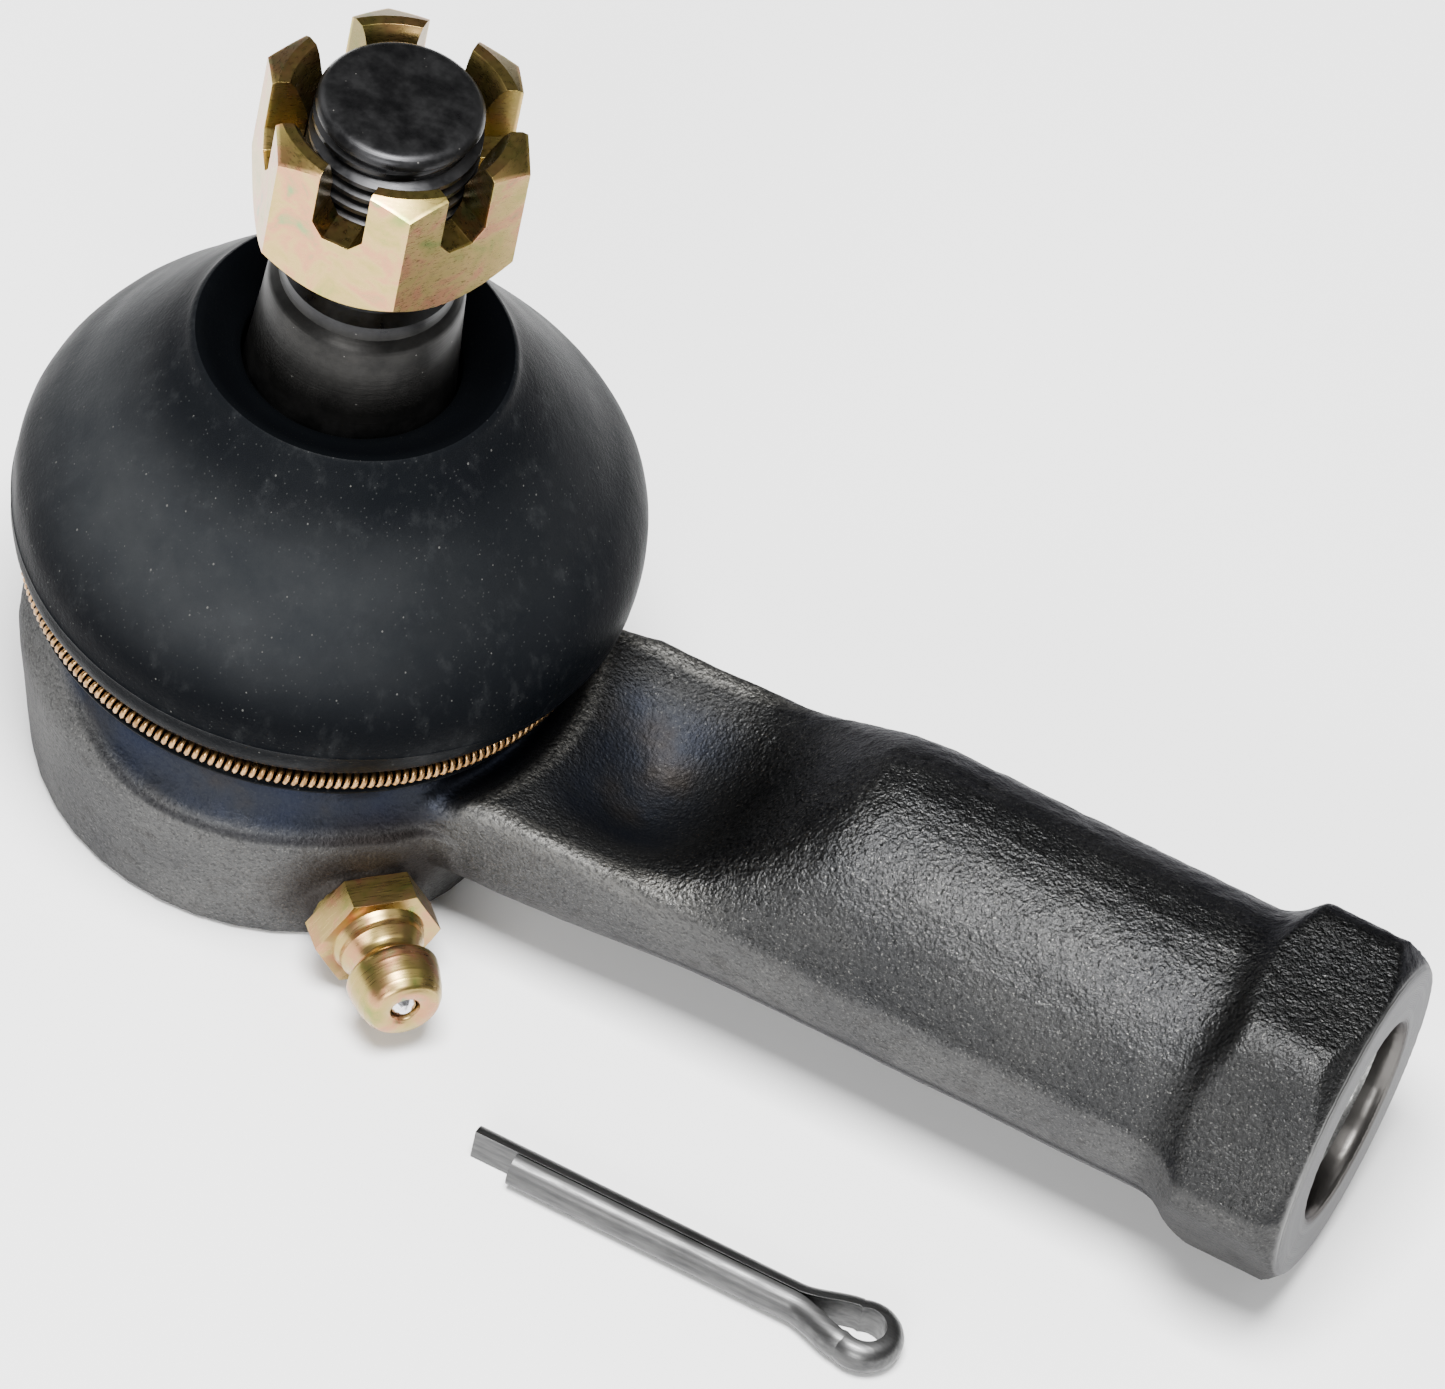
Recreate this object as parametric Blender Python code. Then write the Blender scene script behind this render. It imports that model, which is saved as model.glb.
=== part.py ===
"""Tie rod end: a greaseable steering ball joint with a tapped shank, as separate pieces.

Frame: +Z runs up the ball stud, +X runs along the shank to its tapped end, and the origin is
where the stud's axis meets the flat that the joint stands on. Sizes below are in millimetres
and are turned into metres when a mesh is made.
"""

import math

import bmesh
import bpy
from mathutils import Matrix, Vector

MM = 0.001
GAP = 0.3  # left between pieces that touch or are pressed together
RUN = 0.15  # left between pieces that slide on each other's faceted rounds
ROUND = 40  # facets round a turned piece

# Housing head, a turned and drafted forging
HEAD_FOOT_R = 17.4
HEAD_SHOULDER_R = 19.5
HEAD_SHOULDER_Z = 11.6
NECK_R = 18.0
NECK_FOOT_Z = 15.6
NECK_TURNING_R = 20.4
NECK_TURNING_Z = 14.8
HEAD_TOP_Z = 22.4
SOCKET_R = 14.4
MOUTH_Z = 21.1
LIP_R = 13.5
LIP_Z = 1.0
PLATE_SEAT_R = 15.0
PLATE_SEAT_Z = 3.0

# Shank: neck with a scooped top, round tube, hexagonal wrench pad, tapped socket
SHANK_Z = 15.1
SHANK_START_X = 8.0
SHANK_END_X = 82.0
TUBE_R = 10.7
RIB_TOP_Z = 16.1
SCOOP_FLOOR_Z = 12.4
SCOOP_FLOOR_HALF = 1.5
SCOOP_TOP_HALF = 9.4
SCOOP_START_X = 19.0
SCOOP_END_X = 28.0
NECK_CORNER_R = 7.6
NECK_START_X = 19.0
NECK_ROUND_X = 40.0
NOSE_END_X = 45.0
PAD_START_X = 70.8
PAD_FULL_X = 74.6
PAD_HALF_FLATS = 11.9
PAD_CORNER_R = 3.0
PAD_CHAMFER_X = 80.0
THREAD_HOLE_R = 7.2
THREAD_HOLE_END_X = 46.5
DRILL_TIP_X = 42.4
SOCKET_MOUTH_R = 7.6
END_FACE_R = 11.5

# Ball joint
BALL_Z = 16.5
BALL_R = 11.6
STUD_R = 7.35
TAPER_FOOT_Z = 40.2
TAPER_TOP_Z = 49.2
TAPER_TOP_R = 6.77
THREAD_R = 5.95
STUD_END_R = 5.39
STUD_TOP_Z = 66.9

# Castle nut
NUT_FOOT_Z = 55.0
NUT_TOP_Z = 66.15
NUT_CORNER_R = 9.8
NUT_TURN = 2.1
SLOT_WIDTH = 3.7
SLOT_FLOOR_Z = 60.6

# Dust boot and the garter spring round its foot
BOOT_WALL = 1.4
BOOT_FOOT_Z = 18.6
GARTER_R = 19.73
GARTER_Z = 20.1
GARTER_WIRE_R = 0.62

# Grease fitting, screwed into the head square to its wall
FITTING_ANGLE = math.radians(-45)
FITTING_Z = 5.2
FITTING_TIP = 28.7
FITTING_HEX_FRONT = 22.25
FITTING_HEX_BACK = 19.8
FITTING_HEX_R = 4.58
CHECK_BALL_R = 1.2
CHECK_BALL_AT = 27.45

# Split pin, lying beside the shank
PIN_EYE_X = 58.8
PIN_EYE_Y = -24.87
PIN_TURN = 0.4
PIN_WIRE_R = 1.385
PIN_EYE_R = 1.45
PIN_LONG_LEG = 30.2
PIN_SHORT_LEG = 26.9


# ---------------------------------------------------------------- making pieces
def clear_scene():
    for obj in list(bpy.data.objects):
        bpy.data.objects.remove(obj)


def material(name, colour, roughness, metallic):
    made = bpy.data.materials.new(name)
    made.use_nodes = True
    shader = made.node_tree.nodes["Principled BSDF"]
    shader.inputs["Base Color"].default_value = (*colour, 1.0)
    shader.inputs["Roughness"].default_value = roughness
    shader.inputs["Metallic"].default_value = metallic
    return made


def add_object(name, bm, finish=None, sharp=35):
    """Turns bm into an object, with its faces outward and its round faces shaded smooth."""
    bmesh.ops.remove_doubles(bm, verts=bm.verts, dist=1e-7)
    bmesh.ops.recalc_face_normals(bm, faces=bm.faces)
    mesh = bpy.data.meshes.new(name)
    bm.to_mesh(mesh)
    bm.free()
    mesh.shade_smooth()
    mesh.set_sharp_from_angle(angle=math.radians(sharp))
    obj = bpy.data.objects.new(name, mesh)
    bpy.context.scene.collection.objects.link(obj)
    if finish:
        mesh.materials.append(finish)
    return obj


def lathe(name, profile, finish=None, facets=ROUND, sharp=35, turn=0.0):
    """Turns a profile of (radius, height) round Z. It runs from axis to axis, or is a closed ring.

    turn starts the facets that share of a facet further round, so a guide's edges cross the
    edges of the piece it cuts, and don't lie along them.
    """
    bm = bmesh.new()
    a = 2 * math.pi * turn / facets
    verts = [bm.verts.new((r * MM * math.cos(a), r * MM * math.sin(a), z * MM)) for r, z in profile]
    pairs = list(zip(verts, verts[1:]))
    if profile[0][0] > 1e-6:
        pairs.append((verts[-1], verts[0]))
    edges = [bm.edges.new(pair) for pair in pairs]
    bmesh.ops.spin(
        bm, geom=verts + edges, axis=(0, 0, 1), cent=(0, 0, 0), angle=2 * math.pi, steps=facets
    )
    return add_object(name, bm, finish, sharp)


def loft(name, rings, finish=None, sharp=35):
    """Skins closed rings of points, in millimetres, and closes both ends."""
    bm = bmesh.new()
    loops = [[bm.verts.new(Vector(p) * MM) for p in ring] for ring in rings]
    for one, two in zip(loops, loops[1:]):
        for i in range(len(one)):
            j = (i + 1) % len(one)
            bm.faces.new((one[i], one[j], two[j], two[i]))
    bm.faces.new(loops[0])
    bm.faces.new(loops[-1])
    return add_object(name, bm, finish, sharp)


def combine(target, tool, operation):
    """Joins, cuts or intersects target with tool, which is then only a guide."""
    step = target.modifiers.new(f"{operation.title()} {tool.name}", "BOOLEAN")
    step.operation = operation
    step.solver = "EXACT"
    step.object = tool
    tool.hide_render = True
    tool.display_type = "WIRE"


def turn_to(obj, direction, at=(0, 0, 0)):
    """Points the object's own +Z along direction, with its origin at a place in millimetres."""
    turned = Vector(direction).to_track_quat("Z", "Y").to_matrix().to_4x4()
    obj.matrix_world = Matrix.Translation(Vector(at) * MM) @ turned


def arc(radius, centre_z, low, high, steps):
    """Points of a sphere's outline, (radius, height), from height low to height high."""
    first = math.asin(max(-1.0, (low - centre_z) / radius))
    last = math.asin(min(1.0, (high - centre_z) / radius))
    angles = [first + (last - first) * i / steps for i in range(steps + 1)]
    return [(radius * math.cos(a), centre_z + radius * math.sin(a)) for a in angles]


def ease(value, low, high):
    """0 up to low, 1 from high, and a smooth rise between."""
    t = min(1.0, max(0.0, (value - low) / (high - low)))
    return t * t * (3 - 2 * t)


def smooth_line(points, steps):
    """A smooth curve through (radius, height) points, with steps parts between each two."""
    ends = [points[0], *points, points[-1]]
    line = []
    for a, b, c, d in zip(ends, ends[1:], ends[2:], ends[3:]):
        for i in range(steps):
            t = i / steps
            line.append(
                tuple(
                    0.5
                    * (
                        2 * b[k]
                        + (c[k] - a[k]) * t
                        + (2 * a[k] - 5 * b[k] + 4 * c[k] - d[k]) * t**2
                        + (3 * b[k] - a[k] - 3 * c[k] + d[k]) * t**3
                    )
                    for k in (0, 1)
                )
            )
    return [*line, points[-1]]


def inset_line(line, distance):
    """The same line moved to its left by distance."""
    moved = []
    for i, (r, z) in enumerate(line):
        before = line[max(i - 1, 0)]
        after = line[min(i + 1, len(line) - 1)]
        along = Vector((after[0] - before[0], after[1] - before[1])).normalized()
        moved.append((r - along.y * distance, z + along.x * distance))
    return moved


def tube_rings(path, radius, sides):
    """Rings round a path of points in millimetres, each square to the path."""
    rings = []
    for i, point in enumerate(path):
        before = Vector(path[max(i - 1, 0)])
        after = Vector(path[min(i + 1, len(path) - 1)])
        along = (after - before).normalized()
        side = along.cross(Vector((0, 0, 1))).normalized()
        up = side.cross(along)
        turns = [2 * math.pi * k / sides for k in range(sides)]
        centre = Vector(point)
        rings.append([centre + (side * math.cos(a) + up * math.sin(a)) * radius for a in turns])
    return rings


# ---------------------------------------------------------------- housing
def head_blank():
    profile = [
        (0, 0),
        (HEAD_FOOT_R - 0.5, 0),
        (HEAD_FOOT_R, 0.5),
        (HEAD_SHOULDER_R, HEAD_SHOULDER_Z),
        (HEAD_SHOULDER_R - 0.15, HEAD_SHOULDER_Z + 0.8),
        (HEAD_SHOULDER_R - 0.65, HEAD_SHOULDER_Z + 1.7),
        (NECK_R + 0.3, NECK_FOOT_Z - 1.1),
        (NECK_R, NECK_FOOT_Z),
        (NECK_R, HEAD_TOP_Z - 0.5),
        (NECK_R - 0.5, HEAD_TOP_Z),
        (0, HEAD_TOP_Z),
    ]
    return lathe("head_blank", profile)


def socket_cutter():
    profile = [
        (0, -1),
        (LIP_R, -1),
        (LIP_R, LIP_Z - 0.3),
        (LIP_R + 0.3, LIP_Z),
        (PLATE_SEAT_R, LIP_Z),
        (PLATE_SEAT_R, PLATE_SEAT_Z),
        (SOCKET_R, PLATE_SEAT_Z),
        (SOCKET_R, MOUTH_Z),
        (10.95, MOUTH_Z),
        (11.9, HEAD_TOP_Z + 1),
        (0, HEAD_TOP_Z + 1),
    ]
    return lathe("socket_cutter", profile, turn=0.5)


def scoop_height(x, y):
    """Top of the neck: a hollow between two ribs, which deepens away from the head."""
    across = 1 - ease(abs(y), SCOOP_FLOOR_HALF, SCOOP_TOP_HALF)
    along = ease(x, SCOOP_START_X, SCOOP_END_X)
    return RIB_TOP_Z - (RIB_TOP_Z - SCOOP_FLOOR_Z) * across * along


def shank_section(x, corner_steps=7):
    """The shank's outline at x: a rounded square, with its top scooped out near the head."""
    tube = ease(x, SCOOP_END_X, NOSE_END_X)
    round_off = ease(x, NECK_START_X, NECK_ROUND_X)
    corner = NECK_CORNER_R + (TUBE_R - 0.2 - NECK_CORNER_R) * round_off
    inner = TUBE_R - corner
    rib = RIB_TOP_Z - SHANK_Z
    outline = []
    for quarter in range(4):
        middle_y = inner if quarter in (0, 3) else -inner
        middle_z = inner if quarter in (0, 1) else -inner
        for i in range(corner_steps + 1):
            a = math.radians(90 * quarter + 90 * i / corner_steps)
            y = middle_y + corner * math.cos(a)
            z = middle_z + corner * math.sin(a)
            height = SHANK_Z + z
            if z > rib:
                floor = scoop_height(x, y)
                height = floor + (height - floor) * tube
            outline.append((x, y, height))
    return outline


def shank_blank():
    nose = [SCOOP_END_X + (NOSE_END_X - SCOOP_END_X) * i / 8 for i in range(9)]
    scoop = [NECK_START_X, 20.5, 22.0, 23.5, 25.0, 26.5]
    stations = [SHANK_START_X, *scoop, *nose, SHANK_END_X - 1.2]
    blank = loft("shank_blank", [shank_section(x) for x in stations], sharp=50)
    clearance = [
        (NECK_R - 1, NECK_TURNING_Z),
        (NECK_TURNING_R, NECK_TURNING_Z),
        (NECK_TURNING_R, HEAD_TOP_Z + 8),
        (NECK_R - 1, HEAD_TOP_Z + 8),
    ]
    combine(blank, lathe("neck_turning", clearance, facets=56, turn=0.4), "DIFFERENCE")
    return blank


def along_shank(name, profile, turn):
    """A guide turned round the shank's axis, from a profile of (radius, distance along X)."""
    cutter = lathe(name, profile, turn=turn)
    turn_to(cutter, (1, 0, 0), (0, 0, SHANK_Z))
    return cutter


def threaded_socket_cutter():
    profile = [
        (0, DRILL_TIP_X),
        (THREAD_HOLE_R, THREAD_HOLE_END_X),
        (THREAD_HOLE_R, SHANK_END_X - 0.6),
        (SOCKET_MOUTH_R, SHANK_END_X),
        (SOCKET_MOUTH_R, SHANK_END_X + 1),
        (0, SHANK_END_X + 1),
    ]
    return along_shank("threaded_socket_cutter", profile, 0.8)


def pad_blank():
    """A hexagon with rounded corners, whose two ends are turned down."""
    arc_at = (PAD_HALF_FLATS - PAD_CORNER_R) / math.cos(math.radians(30))
    outline = []
    for corner in range(6):
        middle = math.radians(60 * corner)
        for i in range(5):
            a = middle + math.radians(15 * i - 30)
            y = arc_at * math.cos(middle) + PAD_CORNER_R * math.cos(a)
            z = arc_at * math.sin(middle) + PAD_CORNER_R * math.sin(a)
            outline.append((y, SHANK_Z + z))
    ends = (PAD_START_X - 2, SHANK_END_X + 2)
    pad = loft("pad_blank", [[(x, y, z) for y, z in outline] for x in ends])
    profile = [
        (0, PAD_START_X),
        (TUBE_R - 0.1, PAD_START_X),
        (TUBE_R + 0.5, PAD_START_X + 1.5),
        (TUBE_R + 1.9, PAD_START_X + 2.9),
        (14.2, PAD_FULL_X),
        (14.2, PAD_CHAMFER_X - 0.7),
        (END_FACE_R, SHANK_END_X),
        (0, SHANK_END_X),
    ]
    combine(pad, along_shank("pad_turning", profile, 0.3), "INTERSECT")
    return pad


def fitting_direction():
    return Vector((math.cos(FITTING_ANGLE), math.sin(FITTING_ANGLE), 0))


def along_fitting(name, profile, finish=None, facets=24, turn=0.0):
    """A piece turned round the grease fitting's axis, from (radius, distance from the stud axis)."""
    made = lathe(name, profile, finish, facets, turn=turn)
    turn_to(made, fitting_direction(), (0, 0, FITTING_Z))
    return made


def make_housing(finish):
    housing = head_blank()
    housing.name = "housing"
    housing.data.materials.append(finish)
    boss_face = FITTING_HEX_BACK - GAP
    boss = along_fitting("fitting_boss", [(0, 14), (4.2, 14), (3.7, boss_face), (0, boss_face)], turn=0.3)
    hole = along_fitting("fitting_hole", [(0, 11), (3.1, 11), (3.1, 21), (0, 21)], turn=0.6)
    for solid in (shank_blank(), pad_blank(), boss):
        combine(housing, solid, "UNION")
    for cutter in (socket_cutter(), threaded_socket_cutter(), hole):
        combine(housing, cutter, "DIFFERENCE")
    return housing


# ---------------------------------------------------------------- inside the head
def make_closure_plate(finish):
    edge_r = PLATE_SEAT_R - 0.4
    profile = [
        (0, 0),
        (9.8, 0),
        (11.2, 1.35),
        (edge_r, 1.35),
        (edge_r, 2.75),
        (10.9, 2.75),
        (9.6, 1.5),
        (0, 1.5),
    ]
    return lathe("closure_plate", profile, finish)


def make_preload_spring(finish):
    """A cone of round wire, wide turns at the plate and narrow turns under the seat."""
    turns, steps = 2.25, 22
    low, high, wide, narrow = 2.55, 4.35, 8.8, 4.4
    count = int(turns * steps)
    path = []
    for i in range(count + 1):
        share = i / count
        a = 2 * math.pi * turns * share
        r = wide + (narrow - wide) * share
        path.append((r * math.cos(a), r * math.sin(a), low + (high - low) * share))
    return loft("preload_spring", tube_rings(path, 0.7, 8), finish)


def make_pressure_seat(finish):
    outer = SOCKET_R - GAP
    bowl = arc(BALL_R + RUN, BALL_Z, 5.4, 13.0, 9)
    profile = [(outer - 0.3, 5.4), (outer, 5.8), (outer, 13.0), *reversed(bowl)]
    return lathe("pressure_seat", profile, finish)


def make_upper_bearing(finish):
    outer = SOCKET_R - GAP
    top = MOUTH_Z - GAP
    bowl = arc(BALL_R + RUN, BALL_Z, 15.2, top, 7)
    return lathe("upper_bearing", [(outer, 15.2), (outer, top), *reversed(bowl)], finish)


def make_half_ball(finish):
    foot, top = BALL_Z + GAP, BALL_Z + 8.0
    bore = STUD_R + 0.1
    profile = [(bore, foot), *arc(BALL_R, BALL_Z, foot, top, 8), (bore, top)]
    return lathe("half_ball_bearing", profile, finish)


def make_ball_stud(finish):
    profile = [
        (0, BALL_Z - 9.0),
        *arc(BALL_R, BALL_Z, BALL_Z - 9.0, BALL_Z, 7),
        (STUD_R, BALL_Z),
        (STUD_R, TAPER_FOOT_Z),
        (TAPER_TOP_R, TAPER_TOP_Z),
        (THREAD_R, TAPER_TOP_Z + 1.1),
        (THREAD_R, STUD_TOP_Z - 1.3),
        (STUD_END_R, STUD_TOP_Z),
        (0, STUD_TOP_Z),
    ]
    return lathe("ball_stud", profile, finish)


# ---------------------------------------------------------------- boot and garter
def boot_outline():
    """Outside of the boot from the bead under the garter up to the lip that meets the arm."""
    foot = [(18.2, BOOT_FOOT_Z), (19.5, BOOT_FOOT_Z), (19.75, 18.9), (19.4, 19.4)]
    groove = [(19.02, 19.8), (19.02, 20.4), (19.4, 20.8)]
    body = [(20.2, 21.3), (21.5, 23.2), (22.0, 26.0), (21.3, 29.3), (18.8, 32.8), (15.6, 36.9)]
    collar = [(12.9, 40.2), (11.3, 41.9), (10.9, 42.9)]
    return foot + groove, smooth_line(body + collar, 2)


def make_dust_boot(finish):
    foot, body = boot_outline()
    bore = STUD_R + GAP
    mouth = [(9.4, 42.5), (8.3, 41.7), (bore, 41.4), (bore, 40.3)]
    inner = inset_line(body[1:-3], BOOT_WALL)
    inner_foot = [(18.2, 21.2)]
    profile = [*foot, *body, *mouth, *reversed(inner), *inner_foot]
    return lathe("dust_boot", profile, finish, sharp=60)


def make_garter_spring(finish):
    turns = [2 * math.pi * k / 8 for k in range(8)]
    ring = [
        (GARTER_R + GARTER_WIRE_R * math.cos(a), GARTER_Z + GARTER_WIRE_R * math.sin(a))
        for a in turns
    ]
    return lathe("garter_spring", ring, finish, facets=48, sharp=60)


# ---------------------------------------------------------------- castle nut
def slot_cutter(number):
    """A bar through the nut whose floor has its corners cut off."""
    half = SLOT_WIDTH / 2
    floor_half = 0.9
    reach = 14
    outline = [
        (-half, NUT_TOP_Z + 1),
        (-half, SLOT_FLOOR_Z + 1.2),
        (-floor_half, SLOT_FLOOR_Z),
        (floor_half, SLOT_FLOOR_Z),
        (half, SLOT_FLOOR_Z + 1.2),
        (half, NUT_TOP_Z + 1),
    ]
    cutter = loft(f"slot_cutter_{number}", [[(x, y, z) for y, z in outline] for x in (-reach, reach)])
    cutter.rotation_euler.z = math.radians(30 + 60 * number + NUT_TURN)
    return cutter


def make_castle_nut(finish):
    bore = THREAD_R + 0.1
    profile = [
        (bore, NUT_FOOT_Z + 0.8),
        (bore + 0.8, NUT_FOOT_Z),
        (8.4, NUT_FOOT_Z),
        (10.0, NUT_FOOT_Z + 1.85),
        (10.0, NUT_TOP_Z - 0.98),
        (8.3, NUT_TOP_Z),
        (7.5, NUT_TOP_Z),
        (bore, NUT_TOP_Z - 2.2),
    ]
    nut = lathe("castle_nut", profile, finish, turn=0.4)
    corners = [math.radians(60 * k + NUT_TURN) for k in range(6)]
    hexagon = [
        [(NUT_CORNER_R * math.cos(a), NUT_CORNER_R * math.sin(a), z) for a in corners]
        for z in (NUT_FOOT_Z - 1, NUT_TOP_Z + 1)
    ]
    combine(nut, loft("nut_hexagon", hexagon), "INTERSECT")
    for number in range(3):
        combine(nut, slot_cutter(number), "DIFFERENCE")
    return nut


# ---------------------------------------------------------------- grease fitting
def make_grease_fitting(finish):
    """Stem, hexagon and coupling head in one piece, bored through for the grease."""
    hex_front, hex_back, tip = FITTING_HEX_FRONT, FITTING_HEX_BACK, FITTING_TIP
    seat = CHECK_BALL_AT + 0.72
    profile = [
        (1.45, 15.4),
        (2.8, 15.4),
        (2.8, hex_back),
        (6.0, hex_back),
        (6.0, hex_front - 0.9),
        (3.9, hex_front),
        (3.1, hex_front),
        (2.9, hex_front + 1.0),
        (2.4, hex_front + 1.7),
        (2.4, hex_front + 2.5),
        (3.25, hex_front + 3.3),
        (3.25, tip - 1.4),
        (2.35, tip),
        (1.3, tip),
        (1.0, tip - 0.3),
        (1.0, seat),
        (1.45, seat - 0.6),
    ]
    fitting = along_fitting("grease_fitting", profile, finish, facets=30)
    corners = [math.radians(60 * k) for k in range(6)]
    hexagon = [
        [(FITTING_HEX_R * math.cos(a), FITTING_HEX_R * math.sin(a), z) for a in corners]
        for z in (12, FITTING_TIP + 2)
    ]
    guide = loft("fitting_hexagon", hexagon)
    turn_to(guide, fitting_direction(), (0, 0, FITTING_Z))
    combine(fitting, guide, "INTERSECT")
    return fitting


def make_check_ball(finish):
    """The steel ball that closes the fitting. Its origin is at its centre, on its slide's axis."""
    ball = lathe("check_ball", arc(CHECK_BALL_R, 0, -CHECK_BALL_R, CHECK_BALL_R, 8), finish, facets=16)
    turn_to(ball, fitting_direction(), fitting_direction() * CHECK_BALL_AT + Vector((0, 0, FITTING_Z)))
    return ball


def make_fitting_spring(finish):
    """The small coil that holds the check ball on its seat."""
    turns, steps = 5, 12
    start, end, coil_r, wire_r = 20.2, CHECK_BALL_AT - CHECK_BALL_R - 0.35, 1.0, 0.2
    count = turns * steps
    path = []
    for i in range(count + 1):
        a = 2 * math.pi * i / steps
        path.append((coil_r * math.cos(a), coil_r * math.sin(a), start + (end - start) * i / count))
    spring = loft("fitting_spring", tube_rings(path, wire_r, 6), finish)
    turn_to(spring, fitting_direction(), (0, 0, FITTING_Z))
    return spring


# ---------------------------------------------------------------- split pin
def pin_path():
    """The line of the wire's flat face, from one leg's tip round the eye to the other's.

    The eye's centre is the origin, and the legs run along -X.
    """
    half_gap = 0.06
    throat = 5.0
    bow = []
    for i in range(6):
        share = i / 6
        x = -throat + (throat - 0.9) * share
        bow.append((x, half_gap + (PIN_EYE_R * 0.93 - half_gap) * ease(share, 0, 1.15)))
    eye = []
    for i in range(13):
        a = math.radians(125 - 250 * i / 12)
        eye.append((PIN_EYE_R * math.cos(a), PIN_EYE_R * math.sin(a)))
    there = [(-PIN_LONG_LEG, half_gap), (-18.0, half_gap), *bow]
    back = [(x, -y) for x, y in reversed(bow)] + [(-18.0, -half_gap), (-PIN_SHORT_LEG, -half_gap)]
    return there + eye + back


def make_cotter_pin(finish):
    """A half-round wire folded on itself, with the flat face inward."""
    path = [Vector(point) for point in pin_path()]
    rings = []
    for i, point in enumerate(path):
        along = (path[min(i + 1, len(path) - 1)] - path[max(i - 1, 0)]).normalized()
        out = Vector((-along.y, along.x))
        ring = []
        for k in range(9):
            a = math.pi * (k / 8 - 0.5)
            place = point + out * PIN_WIRE_R * math.cos(a)
            ring.append((place.x, place.y, PIN_WIRE_R * (1 + math.sin(a))))
        rings.append(ring)
    pin = loft("cotter_pin", rings, finish, sharp=50)
    pin.location = Vector((PIN_EYE_X, PIN_EYE_Y, 0)) * MM
    pin.rotation_euler.z = math.radians(PIN_TURN)
    return pin


# ---------------------------------------------------------------- assembly
def main():
    clear_scene()
    forging = material("forged_steel", (0.16, 0.16, 0.165), 0.55, 0.8)
    hardened = material("hardened_steel", (0.09, 0.09, 0.095), 0.4, 0.9)
    sintered = material("sintered_metal", (0.35, 0.3, 0.24), 0.6, 0.8)
    spring_steel = material("spring_steel", (0.3, 0.3, 0.31), 0.35, 1.0)
    plated_plate = material("plate_steel", (0.4, 0.4, 0.41), 0.45, 0.9)
    rubber = material("boot_rubber", (0.03, 0.033, 0.038), 0.6, 0.0)
    copper = material("garter_copper", (0.72, 0.45, 0.22), 0.35, 1.0)
    zinc = material("yellow_zinc", (0.72, 0.66, 0.42), 0.35, 1.0)
    pin_steel = material("pin_zinc", (0.5, 0.52, 0.54), 0.38, 1.0)
    ball_steel = material("ball_steel", (0.75, 0.75, 0.77), 0.2, 1.0)

    make_housing(forging)
    make_closure_plate(plated_plate)
    make_preload_spring(spring_steel)
    make_pressure_seat(sintered)
    make_upper_bearing(sintered)
    make_half_ball(hardened)
    make_ball_stud(hardened)
    make_dust_boot(rubber)
    make_garter_spring(copper)
    make_castle_nut(zinc)
    make_cotter_pin(pin_steel)
    make_grease_fitting(zinc)
    make_check_ball(ball_steel)
    make_fitting_spring(spring_steel)


main()
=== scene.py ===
"""Looks of the tie rod end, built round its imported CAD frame.
"""

import math
from types import SimpleNamespace

import bmesh
import bpy
import numpy as np
from mathutils import Matrix, Vector, noise


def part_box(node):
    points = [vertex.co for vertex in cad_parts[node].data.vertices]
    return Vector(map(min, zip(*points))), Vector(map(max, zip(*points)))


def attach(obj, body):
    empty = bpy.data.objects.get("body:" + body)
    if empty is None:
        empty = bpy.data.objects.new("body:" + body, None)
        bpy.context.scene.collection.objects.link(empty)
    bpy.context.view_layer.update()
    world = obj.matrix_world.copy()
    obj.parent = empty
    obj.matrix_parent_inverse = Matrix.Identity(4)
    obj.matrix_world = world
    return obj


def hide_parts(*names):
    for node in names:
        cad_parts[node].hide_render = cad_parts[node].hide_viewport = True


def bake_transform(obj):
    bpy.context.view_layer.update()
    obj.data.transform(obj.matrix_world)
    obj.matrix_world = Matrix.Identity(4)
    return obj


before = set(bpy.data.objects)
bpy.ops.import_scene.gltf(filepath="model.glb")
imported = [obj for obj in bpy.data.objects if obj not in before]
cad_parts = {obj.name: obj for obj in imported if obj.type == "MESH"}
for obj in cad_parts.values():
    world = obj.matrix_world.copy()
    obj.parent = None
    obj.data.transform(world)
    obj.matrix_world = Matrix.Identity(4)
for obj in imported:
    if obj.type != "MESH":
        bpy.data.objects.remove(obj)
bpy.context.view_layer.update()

MM = 0.001

# Sizes and places in the CAD frame
SHANK_Z = 15.1
BALL_Z = 16.5
BALL_R = 11.6
STUD_R = 7.35
STUD_END_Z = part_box("ball_stud")[1].z / MM
NUT_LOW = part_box("castle_nut")[0].z / MM
NUT_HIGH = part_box("castle_nut")[1].z / MM
NUT_CORNER_R = 9.8
NUT_TURN = 2.1
FITTING_AZIMUTH = math.radians(-45)
FITTING_Z = 5.2
FITTING_HEX_BACK = 19.8
FITTING_HEX_FRONT = 22.25
FITTING_HEX_R = 4.58
FITTING_TIP = 28.7
CHECK_BALL_AT = 27.45
GARTER_R = 19.76
GARTER_Z = 20.05

# The ledge where the turned neck stops climbs between two azimuths, in degrees, and waves a little
LEDGE_Z = 12.4
LEDGE_RISE = 3.6
LEDGE_TURN = (85, 165)
LEDGE_WAVE = 0.22
LEDGE_WAVES = 5


def fitting_place(reach, rise=0.0):
    """The point on the grease fitting's axis that is reach from the stud's axis, or rise above it."""
    return reach * math.cos(FITTING_AZIMUTH), reach * math.sin(FITTING_AZIMUTH), FITTING_Z + rise


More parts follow.
